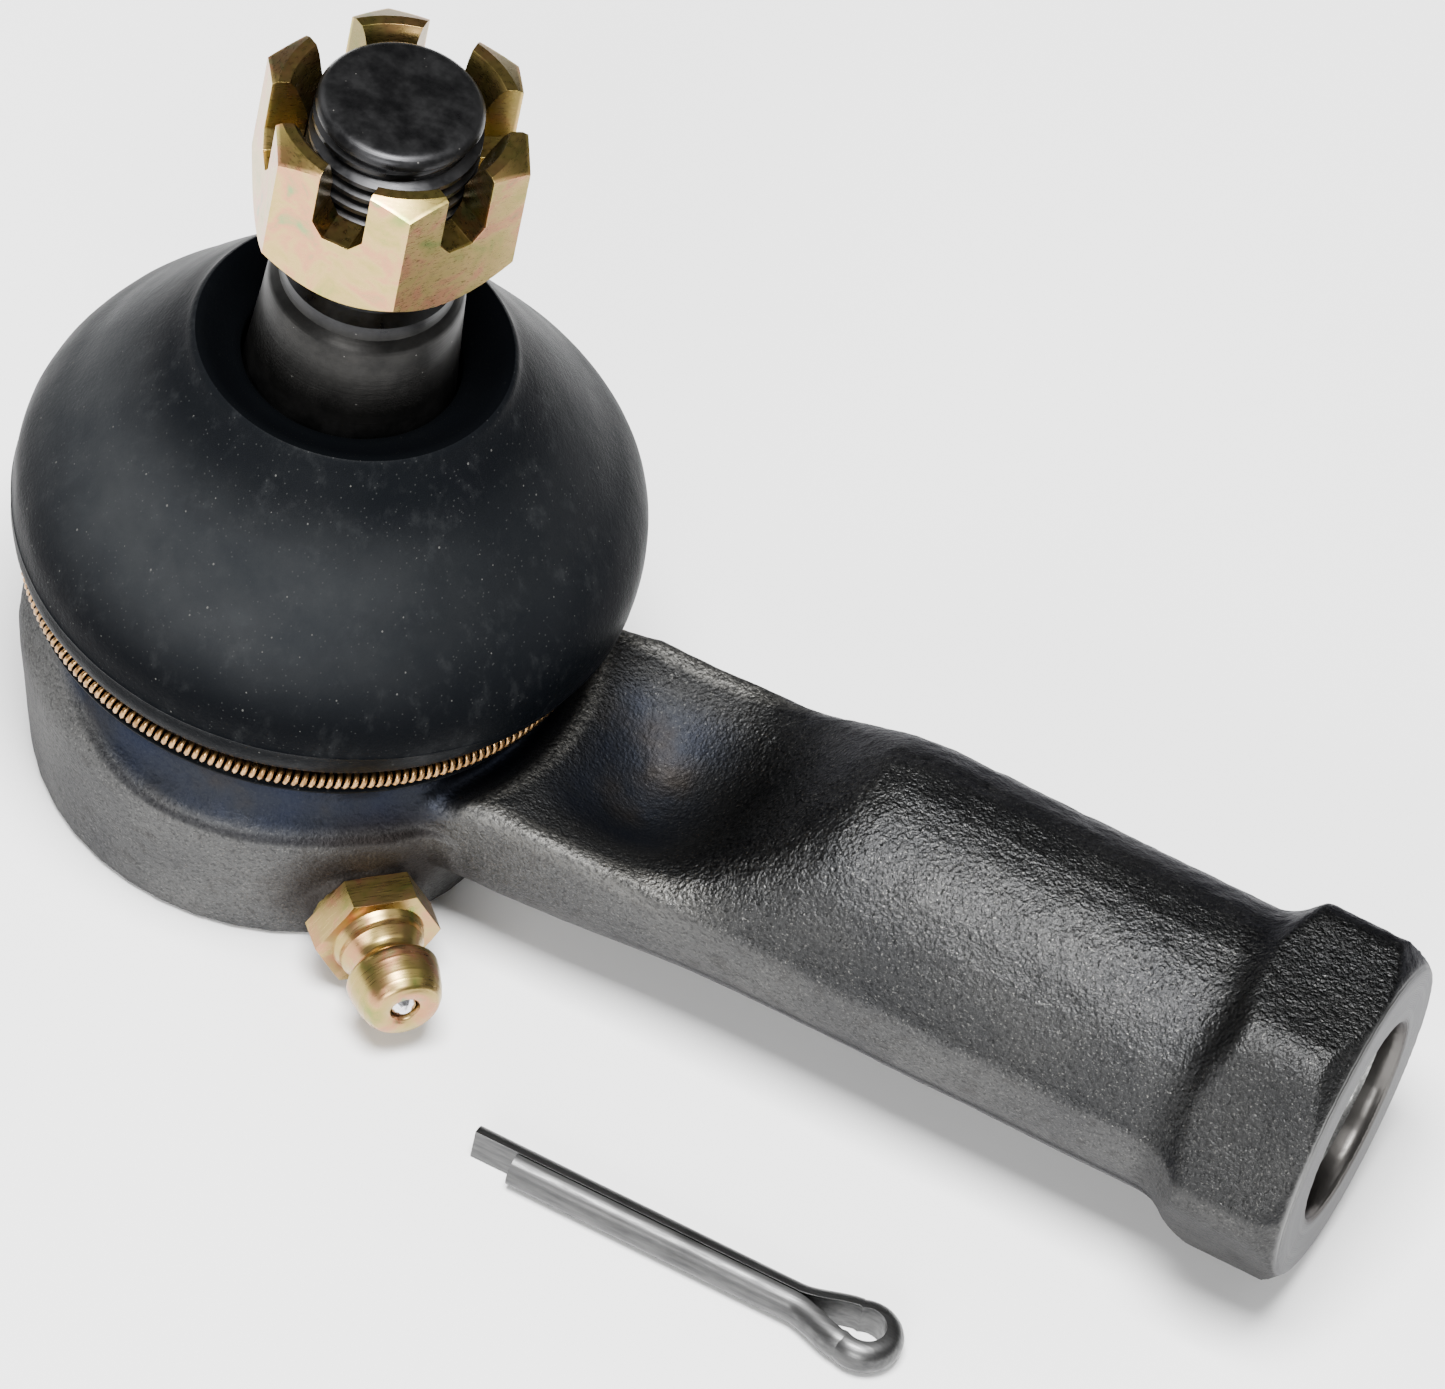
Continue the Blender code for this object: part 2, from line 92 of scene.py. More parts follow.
# ---------------------------------------------------------------- mesh helpers
def link(name, bm, finish, sharp=35):
    """Turns bm, in millimetres, into an object with its faces outward and its rounds smooth."""
    bmesh.ops.remove_doubles(bm, verts=bm.verts, dist=1e-4)
    bmesh.ops.recalc_face_normals(bm, faces=bm.faces)
    bmesh.ops.scale(bm, vec=(MM, MM, MM), verts=bm.verts)
    mesh = bpy.data.meshes.new(name)
    bm.to_mesh(mesh)
    bm.free()
    mesh.shade_smooth()
    mesh.set_sharp_from_angle(angle=math.radians(sharp))
    obj = bpy.data.objects.new(name, mesh)
    bpy.context.scene.collection.objects.link(obj)
    if finish:
        mesh.materials.append(finish)
    return obj


def turned(name, profile, finish, facets=128, sharp=35, turn=0.0):
    """A profile of (radius, height) turned round Z: from axis to axis, or a closed ring."""
    bm = bmesh.new()
    a = 2 * math.pi * turn / facets
    verts = [bm.verts.new((r * math.cos(a), r * math.sin(a), z)) for r, z in profile]
    pairs = list(zip(verts, verts[1:]))
    if profile[0][0] > 1e-6:
        pairs.append((verts[-1], verts[0]))
    edges = [bm.edges.new(pair) for pair in pairs]
    bmesh.ops.spin(
        bm, geom=verts + edges, axis=(0, 0, 1), cent=(0, 0, 0), angle=2 * math.pi, steps=facets
    )
    return link(name, bm, finish, sharp)


def skinned(name, rings, finish, sharp=35, closed=False):
    """Skins closed rings of points, and caps both ends or joins the last ring to the first."""
    bm = bmesh.new()
    loops = [[bm.verts.new(p) for p in ring] for ring in rings]
    pairs = list(zip(loops, loops[1:]))
    if closed:
        pairs.append((loops[-1], loops[0]))
    else:
        bm.faces.new(loops[0])
        bm.faces.new(loops[-1])
    for one, two in pairs:
        for i in range(len(one)):
            j = (i + 1) % len(one)
            bm.faces.new((one[i], one[j], two[j], two[i]))
    return link(name, bm, finish, sharp)


def painted(obj, finish):
    """Gives the whole object one finish."""
    obj.data.materials.clear()
    obj.data.materials.append(finish)


def copied(node, name):
    """A copy of one of the frame's nodes, in the same place."""
    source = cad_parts[node]
    obj = bpy.data.objects.new(name, source.data.copy())
    bpy.context.scene.collection.objects.link(obj)
    obj.matrix_world = source.matrix_world.copy()
    return obj


def applied(obj):
    """Makes the object's modifiers part of its mesh."""
    graph = bpy.context.evaluated_depsgraph_get()
    mesh = bpy.data.meshes.new_from_object(obj.evaluated_get(graph))
    obj.modifiers.clear()
    obj.data = mesh


def carve(obj, tool, operation):
    """A Boolean with tool, made part of the mesh, after which tool is gone."""
    step = obj.modifiers.new("carve", "BOOLEAN")
    step.operation = operation
    step.solver = "EXACT"
    step.object = tool
    applied(obj)
    bpy.data.objects.remove(tool)


def rounded(obj, width, segments=3, angle=28):
    """Breaks the object's edges, and shades its flats flat."""
    bevel = obj.modifiers.new("edges", "BEVEL")
    bevel.width = width * MM
    bevel.segments = segments
    bevel.limit_method = "ANGLE"
    bevel.angle_limit = math.radians(angle)
    bevel.harden_normals = True
    bevel.use_clamp_overlap = True


def prism(name, corners, low, high):
    """A straight prism on a list of (x, y) corners."""
    rings = [[(x, y, z) for x, y in corners] for z in (low, high)]
    return skinned(name, rings, None)


def hexagon(radius, turn=0.0):
    """The (x, y) corners of a hexagon, turned by an angle in degrees."""
    angles = [math.radians(60 * k + turn) for k in range(6)]
    return [(radius * math.cos(a), radius * math.sin(a)) for a in angles]


def aim(obj, direction, at):
    """Points the object's +Z along direction, with its origin at a place in millimetres."""
    turned_to = Vector(direction).to_track_quat("Z", "Y").to_matrix().to_4x4()
    obj.matrix_world = Matrix.Translation(Vector(at) * MM) @ turned_to


def stand_in(obj, body, slot, *nodes):
    """Rides a piece on its body, and hides the nodes it stands for; slot is not used."""
    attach(obj, body)
    if nodes:
        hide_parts(*nodes)


def ease(value, low, high):
    """0 up to low, 1 from high on, and a smooth rise between them."""
    t = min(1.0, max(0.0, (value - low) / (high - low)))
    return t * t * (3 - 2 * t)


def soft_step(values, low, high):
    """The same rise for a whole array."""
    t = np.clip((values - low) / (high - low), 0.0, 1.0)
    return t * t * (3 - 2 * t)


def spline(points, steps):
    """A smooth curve through (radius, height) points, with steps parts between each two."""
    ends = [points[0], *points, points[-1]]
    line = []
    for a, b, c, d in zip(ends, ends[1:], ends[2:], ends[3:]):
        for i in range(steps):
            t = i / steps
            line.append(
                tuple(
                    0.5
                    * (
                        2 * b[k]
                        + (c[k] - a[k]) * t
                        + (2 * a[k] - 5 * b[k] + 4 * c[k] - d[k]) * t**2
                        + (3 * b[k] - a[k] - 3 * c[k] + d[k]) * t**3
                    )
                    for k in (0, 1)
                )
            )
    return [*line, points[-1]]


def verts_mm(mesh):
    flat = np.empty(len(mesh.vertices) * 3)
    mesh.vertices.foreach_get("co", flat)
    return flat.reshape(-1, 3) / MM


def normals_of(mesh):
    flat = np.empty(len(mesh.vertices) * 3, dtype=np.float32)
    mesh.vertex_normals.foreach_get("vector", flat)
    return flat.reshape(-1, 3)


def set_verts_mm(mesh, points):
    mesh.vertices.foreach_set("co", (points * MM).ravel())
    mesh.update()


def field(points, size, seed):
    """Smooth noise from -1 to 1 at each point, with lumps about size millimetres across."""
    shift = Vector((seed * 7.3, seed * 3.1, seed * 11.7))
    return np.array([noise.noise(Vector(p) / size + shift) for p in points])


# ---------------------------------------------------------------- material helpers
class Recipe:
    """A node-based material. Positions are the object's own, in millimetres."""

    def __init__(self, name, colour, roughness, metallic):
        self.material = bpy.data.materials.new(name)
        self.material.use_nodes = True
        self.tree = self.material.node_tree
        self.shader = self.tree.nodes["Principled BSDF"]
        self.shader.inputs["Base Color"].default_value = (*colour, 1)
        self.shader.inputs["Roughness"].default_value = roughness
        self.shader.inputs["Metallic"].default_value = metallic
        coordinates = self.node("ShaderNodeTexCoord")
        scale = self.node("ShaderNodeVectorMath", operation="SCALE")
        scale.inputs["Scale"].default_value = 1 / MM
        self.join(coordinates.outputs["Object"], scale.inputs[0])
        self.place = scale.outputs[0]

    def node(self, kind, **settings):
        made = self.tree.nodes.new(kind)
        for key, value in settings.items():
            setattr(made, key, value)
        return made

    def join(self, output, socket):
        self.tree.links.new(output, socket)

    def feed(self, value, socket):
        """Links an output, or sets a plain number, vector or colour."""
        if hasattr(value, "is_output"):
            self.join(value, socket)
        else:
            socket.default_value = value

    def math(self, operation, a, b=0.0, c=0.0):
        made = self.node("ShaderNodeMath", operation=operation)
        for value, socket in zip((a, b, c), made.inputs):
            self.feed(value, socket)
        return made.outputs[0]

    def chained(self, operation, values):
        result = values[0]
        for value in values[1:]:
            result = self.math(operation, result, value)
        return result

    def product(self, *values):
        return self.chained("MULTIPLY", values)

    def total(self, *values):
        return self.chained("ADD", values)

    def most(self, *values):
        return self.chained("MAXIMUM", values)

    def rest(self, share):
        """What a share leaves of 1."""
        return self.math("SUBTRACT", 1.0, share)

    def axis(self, letter, place=None):
        split = self.node("ShaderNodeSeparateXYZ")
        self.join(place or self.place, split.inputs[0])
        return split.outputs[letter]

    def moved(self, offset=(0, 0, 0), scale=(1, 1, 1)):
        """The position, scaled and then shifted by offset."""
        mapping = self.node("ShaderNodeMapping")
        mapping.inputs["Location"].default_value = offset
        mapping.inputs["Scale"].default_value = scale
        self.join(self.place, mapping.inputs[0])
        return mapping.outputs[0]

    def length(self, vector):
        made = self.node("ShaderNodeVectorMath", operation="LENGTH")
        self.join(vector, made.inputs[0])
        return made.outputs["Value"]

    def radius(self):
        """Distance from the object's own Z axis."""
        return self.length(self.moved(scale=(1, 1, 0)))

    def noise(self, size, detail=3.0, rough=0.55, place=None, distortion=0.0):
        """Smooth noise, whose lumps are about size across."""
        made = self.node("ShaderNodeTexNoise")
        made.inputs["Scale"].default_value = 1 / size
        made.inputs["Detail"].default_value = detail
        made.inputs["Roughness"].default_value = rough
        made.inputs["Distortion"].default_value = distortion
        self.join(place or self.place, made.inputs["Vector"])
        return made.outputs["Fac"]

    def scattered(self, size, place=None):
        """Distance from the nearest of many scattered points, and that point's own chance colour."""
        made = self.node("ShaderNodeTexVoronoi", feature="F1")
        made.inputs["Scale"].default_value = 1 / size
        self.join(place or self.place, made.inputs["Vector"])
        return made.outputs["Distance"], made.outputs["Color"]

    def cells(self, size, place=None):
        distance, _ = self.scattered(size, place)
        return distance

    def dots(self, size, letter, least, widest, place):
        """1 inside dots, which only the points with a chance number above least have."""
        distance, chance = self.scattered(size, place)
        reach = self.span(self.axis(letter, place=chance), least, 1.0, 0.0, widest)
        return self.math("LESS_THAN", distance, reach)

    def ramp(self, value, stops):
        """stops are (position, colour)."""
        made = self.node("ShaderNodeValToRGB")
        ramp = made.color_ramp
        while len(ramp.elements) < len(stops):
            ramp.elements.new(1.0)
        for element, (position, colour) in zip(ramp.elements, stops):
            element.position = position
            element.color = (*colour, 1)
        self.feed(value, made.inputs[0])
        return made.outputs[0]

    def span(self, value, low, high, to_low=0.0, to_high=1.0):
        """to_low where value is low, easing to to_high where it is high. low may be the larger."""
        made = self.node("ShaderNodeMapRange", interpolation_type="SMOOTHSTEP")
        for number, socket in zip((low, high, to_low, to_high), list(made.inputs)[1:5]):
            self.feed(number, socket)
        self.feed(value, made.inputs[0])
        return made.outputs[0]

    def mix(self, share, a, b):
        """Colour a, with a share of colour b over it."""
        made = self.node("ShaderNodeMix", data_type="RGBA")
        self.feed(share, made.inputs[0])
        for value, socket in ((a, made.inputs[6]), (b, made.inputs[7])):
            if isinstance(value, tuple):
                value = (*value, 1)
            self.feed(value, socket)
        return made.outputs[2]

    def blend_value(self, share, a, b):
        made = self.node("ShaderNodeMix", data_type="FLOAT")
        self.feed(share, made.inputs[0])
        self.feed(a, made.inputs[2])
        self.feed(b, made.inputs[3])
        return made.outputs[0]

    def bump(self, height, distance, below=None, strength=1.0):
        """distance is the height's size in millimetres."""
        made = self.node("ShaderNodeBump")
        made.inputs["Distance"].default_value = distance * MM
        self.feed(strength, made.inputs["Strength"])
        self.join(height, made.inputs["Height"])
        if below:
            self.join(below, made.inputs["Normal"])
        return made.outputs[0]

    def near(self, value, middle, full, none):
        """1 where value is within full of middle, easing to 0 at none."""
        gap = self.math("ABSOLUTE", self.math("SUBTRACT", value, middle))
        return self.span(gap, none, full)

    def colour(self, value):
        self.feed(value, self.shader.inputs["Base Color"])

    def rough(self, value):
        self.feed(value, self.shader.inputs["Roughness"])

    def normal(self, value):
        self.join(value, self.shader.inputs["Normal"])

    def metal(self, value):
        self.feed(value, self.shader.inputs["Metallic"])


# ---------------------------------------------------------------- forged steel
def forging_zones(r):
    """Where a point of the forging is, and how far it has each kind of surface, from 0 to 1."""
    x, y, z = (r.axis(letter) for letter in "XYZ")
    width = r.math("ABSOLUTE", y)
    from_stud = r.radius()
    from_bore = r.length(r.moved(offset=(0, 0, -SHANK_Z), scale=(0, 1, 1)))

    above_parting = r.span(z, 15.6, 16.6)
    in_hollow = r.product(r.span(width, 10.0, 9.2), r.span(z, 9.0, 10.0))
    on_shank = r.span(from_stud, 19.6, 21.0)
    coarse = r.product(r.most(above_parting, in_hollow), on_shank)

    end_face = r.span(x, 81.55, 81.8)
    in_bore = r.product(r.span(from_bore, 7.95, 7.75), r.span(x, 42.0, 42.5))
    # The pad's end is chamfered to a cone round the shank's axis
    cone = r.total(from_bore, r.product(x, 1.35))
    chamfer = r.product(r.span(cone, 121.95, 122.2), r.span(x, 79.0, 79.3))

    azimuth = r.math("ARCTAN2", y, x)
    turn = [math.radians(a) for a in LEDGE_TURN]
    ledge_z = r.span(r.math("ABSOLUTE", azimuth), *turn, LEDGE_Z, LEDGE_Z + LEDGE_RISE)
    wave = r.math("SINE", r.product(azimuth, LEDGE_WAVES))
    ledge_z = r.total(ledge_z, r.product(wave, LEDGE_WAVE))
    above_ledge = r.math("SUBTRACT", z, ledge_z)
    on_head = r.product(r.span(from_stud, 21.2, 18.8), r.span(z, 4.0, 5.0))
    by_fitting = r.product(r.span(azimuth, -2.27, -1.57), r.span(azimuth, -0.35, -0.56))
    # The hollow behind the head, whose dark blue colour is partly a blue tint and partly painted shade.
    hollow = r.product(
        r.span(x, 20.5, 23.5),
        r.span(x, 34.0, 28.0),
        r.span(width, 8.0, 4.5),
        r.span(from_stud, 19.5, 19.8),
        r.span(z, 10.0, 10.5, 0.0, 0.75),
    )
    return SimpleNamespace(
        x=x,
        z=z,
        width=width,
        from_stud=from_stud,
        from_bore=from_bore,
        coarse=coarse,
        beside_neck=r.product(coarse, r.span(x, 37.0, 28.0)),
        end_face=end_face,
        in_bore=in_bore,
        bare=r.most(end_face, in_bore, chamfer),
        hollow=hollow,
        # The neck blued by heat, and the hollow, where the same darkening is partly painted shade.
        heat_blue_and_hollow_shade=r.most(r.product(r.span(above_ledge, -0.6, 1.2), on_head), hollow),
        # A thin line of painted shadow under the neck's ledge, beside the fitting.
        ledge=r.product(r.near(above_ledge, 0.0, 0.05, 0.4), by_fitting, on_head),
        grain=r.noise(0.28, 3.0, 0.6),
        sparkle=r.noise(0.17, 2.0, 0.5),
    )


def blasted_skin(r, zone):
    """The forging's own colour: dark with bright grains where it is coarse, and pale elsewhere."""
    clouds = r.noise(9.0, 4.0, 0.6)
    grime = r.noise(2.2, 5.0, 0.65)
    dark = r.ramp(clouds, [(0.3, (0.03, 0.0305, 0.0315)), (0.7, (0.046, 0.046, 0.0455))])
    dark = r.mix(r.span(zone.grain, 0.52, 0.34, 0.0, 0.5), dark, (0.010, 0.010, 0.0105))
    dark = r.mix(r.span(zone.sparkle, 0.6, 0.76, 0.0, 0.8), dark, (0.17, 0.168, 0.158))
    pale = r.ramp(
        clouds, [(0.25, (0.06, 0.06, 0.061)), (0.5, (0.082, 0.082, 0.081)), (0.8, (0.11, 0.109, 0.106))]
    )
    pale = r.mix(r.span(grime, 0.5, 0.75, 0.0, 0.5), pale, (0.03, 0.027, 0.025))
    pale = r.mix(r.span(zone.grain, 0.52, 0.34, 0.0, 0.65), pale, (0.03, 0.03, 0.03))
    pale = r.mix(r.span(zone.sparkle, 0.55, 0.72, 0.0, 0.6), pale, (0.17, 0.168, 0.16))
    surface = r.mix(zone.coarse, pale, dark)
    # Darker beside the neck and towards the pad's end.
    darker_near_neck_and_pad_end = r.most(r.span(zone.x, 69.5, 71.5), zone.beside_neck)
    return r.mix(r.product(darker_near_neck_and_pad_end, 0.35), surface, (0.01, 0.01, 0.01))


def blued_skin_and_painted_light(r, zone, surface):
    """Adds the blued neck, painted shade in the hollow behind the head, painted shadow under the neck's
    ledge, a painted highlight on the flange's rim, and a brown darkening round the fitting.
    """
    blued = r.ramp(
        r.noise(6.0, 3.0),
        [(0.3, (0.009, 0.0125, 0.025)), (0.55, (0.0115, 0.0135, 0.0195)), (0.75, (0.019, 0.0155, 0.013))],
    )
    # Blued by heat on the neck; in the hollow behind the head this colour is partly a blue tint and
    # partly painted shade.
    surface = r.mix(r.product(zone.heat_blue_and_hollow_shade, 0.9), surface, blued)
    # Painted shadow: a dark line under the neck's ledge.
    surface = r.mix(r.product(zone.ledge, 0.85), surface, (0.008, 0.008, 0.01))
    side_edge = r.product(
        r.near(zone.width, 9.9, 0.3, 1.3), r.span(zone.x, 17.5, 19.5), r.span(zone.x, 40.0, 31.0)
    )
    round_edge = r.product(r.near(zone.from_stud, 21.0, 0.2, 1.0), r.span(zone.x, 16.0, 16.5))
    # Painted highlight along the flange's rim and the neck's turned edge, broken by the grain.
    painted_rim_highlight = r.product(
        r.most(side_edge, round_edge),
        r.span(zone.z, 14.6, 15.4),
        r.span(zone.grain, 0.38, 0.6, 0.1, 0.45),
    )
    surface = r.mix(painted_rim_highlight, surface, (0.2, 0.195, 0.18))
    # Darker brown round the fitting's base.
    brown_patch_at = fitting_place(18.6, rise=2.0)
    from_brown_patch = r.length(r.moved(offset=[-value for value in brown_patch_at]))
    return r.mix(r.span(from_brown_patch, 8.5, 4.0, 0.0, 0.75), surface, (0.016, 0.011, 0.008))


def bare_steel(r, zone):
    """Machined metal: rings on the end face, turning marks elsewhere, and painted shade darkening the
    bore.
    """
    tool_marks = r.noise(1.0, 3.0, 0.5, place=r.moved(scale=(9.0, 0.6, 0.6)))
    rings = r.node("ShaderNodeCombineXYZ")
    r.join(zone.from_bore, rings.inputs[0])
    face_marks = r.noise(0.45, 3.0, 0.6, place=rings.outputs[0])
    marks = r.blend_value(zone.end_face, tool_marks, face_marks)
    steel = r.ramp(marks, [(0.3, (0.11, 0.11, 0.11)), (0.7, (0.19, 0.19, 0.186))])
    # Painted shade inside the bore.
    return r.mix(zone.in_bore, steel, (0.1, 0.095, 0.09))


def forging_relief(r, zone):
    """Pits and grain, weaker on the blued neck and almost gone on bare metal, and face rings."""
    lumps = r.total(
        r.product(r.cells(0.5), 0.42),
        r.product(zone.grain, 1.2),
        r.product(r.cells(0.26), 0.3),
        r.product(zone.sparkle, 0.25),
    )
    strength = r.product(
        r.blend_value(zone.coarse, 0.75, 0.95),
        r.rest(r.product(zone.bare, 0.97)),
        r.rest(r.product(zone.heat_blue_and_hollow_shade, 0.6)),
    )
    skin = r.bump(lumps, 0.12, strength=strength)
    rings = r.math("SINE", r.product(zone.from_bore, 38.0))
    return r.bump(rings, 0.012, below=skin, strength=r.product(zone.end_face, 0.8))


def forging():
    """Shot-blasted forged steel: coarse above the parting line, smoother below and on the head.

    Heat has blued the turned neck, and the end of the wrench pad and the socket are bare metal.
    """
    r = Recipe("forged_steel", (0.05, 0.05, 0.053), 0.5, 0.75)
    zone = forging_zones(r)
    surface = blued_skin_and_painted_light(r, zone, blasted_skin(r, zone))
    r.colour(r.mix(zone.bare, surface, bare_steel(r, zone)))
    rough = r.blend_value(zone.coarse, 0.6, r.span(zone.grain, 0.3, 0.7, 0.3, 0.4))
    for share, roughness in (
        (zone.beside_neck, 0.56),
        (zone.heat_blue_and_hollow_shade, 0.4),
        (zone.hollow, 0.62),
        (zone.bare, 0.33),
    ):
        rough = r.blend_value(share, rough, roughness)
    r.rough(rough)
    r.metal(r.blend_value(r.most(zone.bare, zone.heat_blue_and_hollow_shade), r.blend_value(zone.coarse, 0.85, 1.0), 1.0))
    r.normal(forging_relief(r, zone))
    r.shader.inputs["Specular Tint"].default_value = (0.4, 0.4, 0.41, 1)
    return r.material


# ---------------------------------------------------------------- other finishes
def rubber(name, shine=1.0, tone=1.0):
    """Moulded black rubber, with a grey bloom, specks of dust, painted light on the belly and painted
    shade at its foot, its top and its side toward the shank.

    A smaller shine takes away gloss and dust, and a smaller tone darkens it as painted shade, as on the
    lip's funnel.
    """
    r = Recipe(name, (0.004, 0.005, 0.006), 0.5, 0.0)
    z = r.axis("Z")
    bloom = r.noise(7.0, 4.0, 0.6)
    surface = r.ramp(bloom, [(0.3, (0.0112, 0.0124, 0.0138)), (0.75, (0.0195, 0.0208, 0.022))])
    # Painted light and shade: the belly's middle keeps the lighter colour, while its foot, its top and
    # the side toward the shank are darkened as painted shade.
    belly = r.product(r.span(z, 26.5, 33.5, 0.0, 1.0), r.span(z, 41.0, 35.0, 0.15, 1.0))
    shade_toward_shank = r.span(r.axis("X"), 5.0, 18.0, 1.0, 0.35)
    surface = r.mix(r.product(belly, shade_toward_shank), (0.0016, 0.002, 0.0027), surface)
    smear = r.noise(1.7, 5.0, 0.7, place=r.moved(scale=(1, 1, 0.5)))
    surface = r.mix(r.span(smear, 0.5, 0.8, 0.0, 0.35 * shine), surface, (0.024, 0.0255, 0.0265))
    powder = r.cells(0.42, place=r.moved(scale=(1, 0.8, 0.9)))
    surface = r.mix(r.span(powder, 0.16, 0.08, 0.0, 0.4 * shine), surface, (0.04, 0.041, 0.04))
    dust = r.dots(0.8, "X", 0.4, 0.095, place=r.moved(scale=(1, 0.9, 0.8)))
    surface = r.mix(r.product(dust, 0.7 * shine), surface, (0.075, 0.075, 0.07))
    crumbs = r.dots(4.6, "Y", 0.75, 0.06, place=r.moved(offset=(3, 1, 2)))
    surface = r.mix(r.product(crumbs, shine), surface, (0.3, 0.26, 0.17))
    # A smaller tone darkens the whole colour as painted shade.
    r.colour(r.mix(1.0 - tone, surface, (0.0004, 0.0005, 0.0007)))
    dull = 0.3 * (1 - shine)
    r.rough(r.blend_value(dust, r.span(bloom, 0.3, 0.75, 0.33 + dull, 0.43 + dull), 0.9))
    height = r.total(r.product(r.noise(0.35, 4.0, 0.65), 0.5), r.noise(4.0, 2.0, 0.5))
    r.normal(r.bump(height, 0.1, strength=0.75))
    r.shader.inputs["Specular IOR Level"].default_value = 0.012 * shine
    r.shader.inputs["Sheen Weight"].default_value = 0.001
    r.shader.inputs["Sheen Roughness"].default_value = 0.5
    r.shader.inputs["Sheen Tint"].default_value = (0.6, 0.7, 0.9, 1)
    return r.material


def yellow_zinc(name, marks, hollow_shade=None, tone=1.0):
    """Passivated zinc: gold that drifts to pink and green, scratched along marks.

    A mask for the hollows, if there is one, darkens them to olive as painted shade, and a smaller tone
    darkens all.
    """
    r = Recipe(name, (0.5, 0.4, 0.2), 0.3, 1.0)
    drift = r.noise(3.4, 3.0, 0.6, distortion=0.6)
    hue = r.ramp(
        drift,
        [
            (0.28, (0.27, 0.31, 0.08)),
            (0.40, (0.46, 0.35, 0.11)),
            (0.50, (0.54, 0.37, 0.14)),
            (0.60, (0.58, 0.27, 0.14)),
            (0.72, (0.25, 0.34, 0.14)),
        ],
    )
    stain = r.noise(1.1, 5.0, 0.7)
    hue = r.mix(r.span(stain, 0.56, 0.78, 0.0, 0.14), hue, (0.16, 0.13, 0.055))
    if hollow_shade:
        # Painted shade in the nut's slots, bore and crown.
        hue = r.mix(r.product(hollow_shade(r), 0.8), hue, (0.12, 0.09, 0.027))
    r.colour(r.mix(1.0 - tone, hue, (0.02, 0.016, 0.006)))
    scratches = r.noise(0.5, 4.0, 0.6, place=r.moved(scale=marks))
    r.rough(r.span(scratches, 0.3, 0.7, 0.26, 0.34))
    dents = r.noise(1.6, 3.0, 0.6)
    height = r.total(r.product(scratches, 0.1), dents)
    r.normal(r.bump(height, 0.014, strength=0.6))
    return r.material


def nut_hollows(r):
    """The slots, bore and crown of the nut, whatever lies inside the hexagon's flats, where painted shade
    darkens the zinc.
    """
    reach = 0.0
    for number in range(3):
        a = math.radians(30 + 60 * number + NUT_TURN)
        across = r.node("ShaderNodeVectorMath", operation="DOT_PRODUCT")
        across.inputs[1].default_value = (math.cos(a), math.sin(a), 0)
        r.join(r.place, across.inputs[0])
        reach = r.most(reach, r.math("ABSOLUTE", across.outputs["Value"]))
    return r.span(reach, 8.42, 8.2)


def black_oxide():
    """The stud: blackened steel with lathe marks, rubbed to grey on the taper."""
    r = Recipe("hardened_steel", (0.02, 0.02, 0.022), 0.35, 0.9)
    z = r.axis("Z")
    marks = r.noise(0.14, 2.0, 0.5, place=r.moved(scale=(0.02, 0.02, 1.0)))
    patches = r.noise(2.0, 4.0, 0.65)
    rubbed = r.product(r.span(z, 50.4, 49.6), r.span(z, 40.0, 43.5, 0.35, 1.0))
    black = r.ramp(patches, [(0.3, (0.012, 0.012, 0.013)), (0.7, (0.032, 0.032, 0.033))])
    grey = r.ramp(patches, [(0.3, (0.011, 0.0108, 0.0104)), (0.7, (0.025, 0.0242, 0.023))])
    surface = r.mix(rubbed, black, grey)
    chip = r.product(r.math("LESS_THAN", r.cells(0.9), 0.07), r.span(patches, 0.5, 0.6))
    r.colour(r.mix(r.product(chip, 0.6), surface, (0.3, 0.29, 0.27)))
    r.rough(r.blend_value(rubbed, r.span(patches, 0.3, 0.7, 0.26, 0.42), 0.42))
    r.normal(r.bump(r.total(marks, r.product(patches, 0.5)), 0.02, strength=0.7))
    return r.material


def garter_gap_shade(r):
    """Where painted shade falls between the garter's coils, which lie round a ring."""
    outward = r.math("SUBTRACT", r.radius(), GARTER_R)
    upward = r.math("SUBTRACT", r.axis("Z"), GARTER_Z)
    squares = r.total(r.product(outward, outward), r.product(upward, upward))
    return r.span(r.math("SQRT", squares), 0.67, 0.55)


def wire(name, low, high, roughness, marks=(1, 1, 1), size=0.4, hollow=None):
    """Drawn or wound wire, with streaks between two colours, and painted shade in its hollows."""
    r = Recipe(name, high, roughness, 1.0)
    streaks = r.noise(size, 4.0, 0.6, place=r.moved(scale=marks))
    tarnish = r.noise(5.0, 3.0, 0.6)
    surface = r.ramp(streaks, [(0.3, low), (0.65, high)])
    surface = r.mix(r.span(tarnish, 0.5, 0.8, 0.0, 0.5), surface, tuple(0.45 * c for c in low))
    # Painted shade in the hollows, such as between the garter's coils.
    if hollow:
        surface = r.mix(hollow(r), surface, tuple(0.08 * c for c in low))
    r.colour(surface)
    r.rough(r.span(streaks, 0.3, 0.7, roughness + 0.1, roughness - 0.05))
    r.normal(r.bump(streaks, 0.02, strength=0.5))
    return r.material


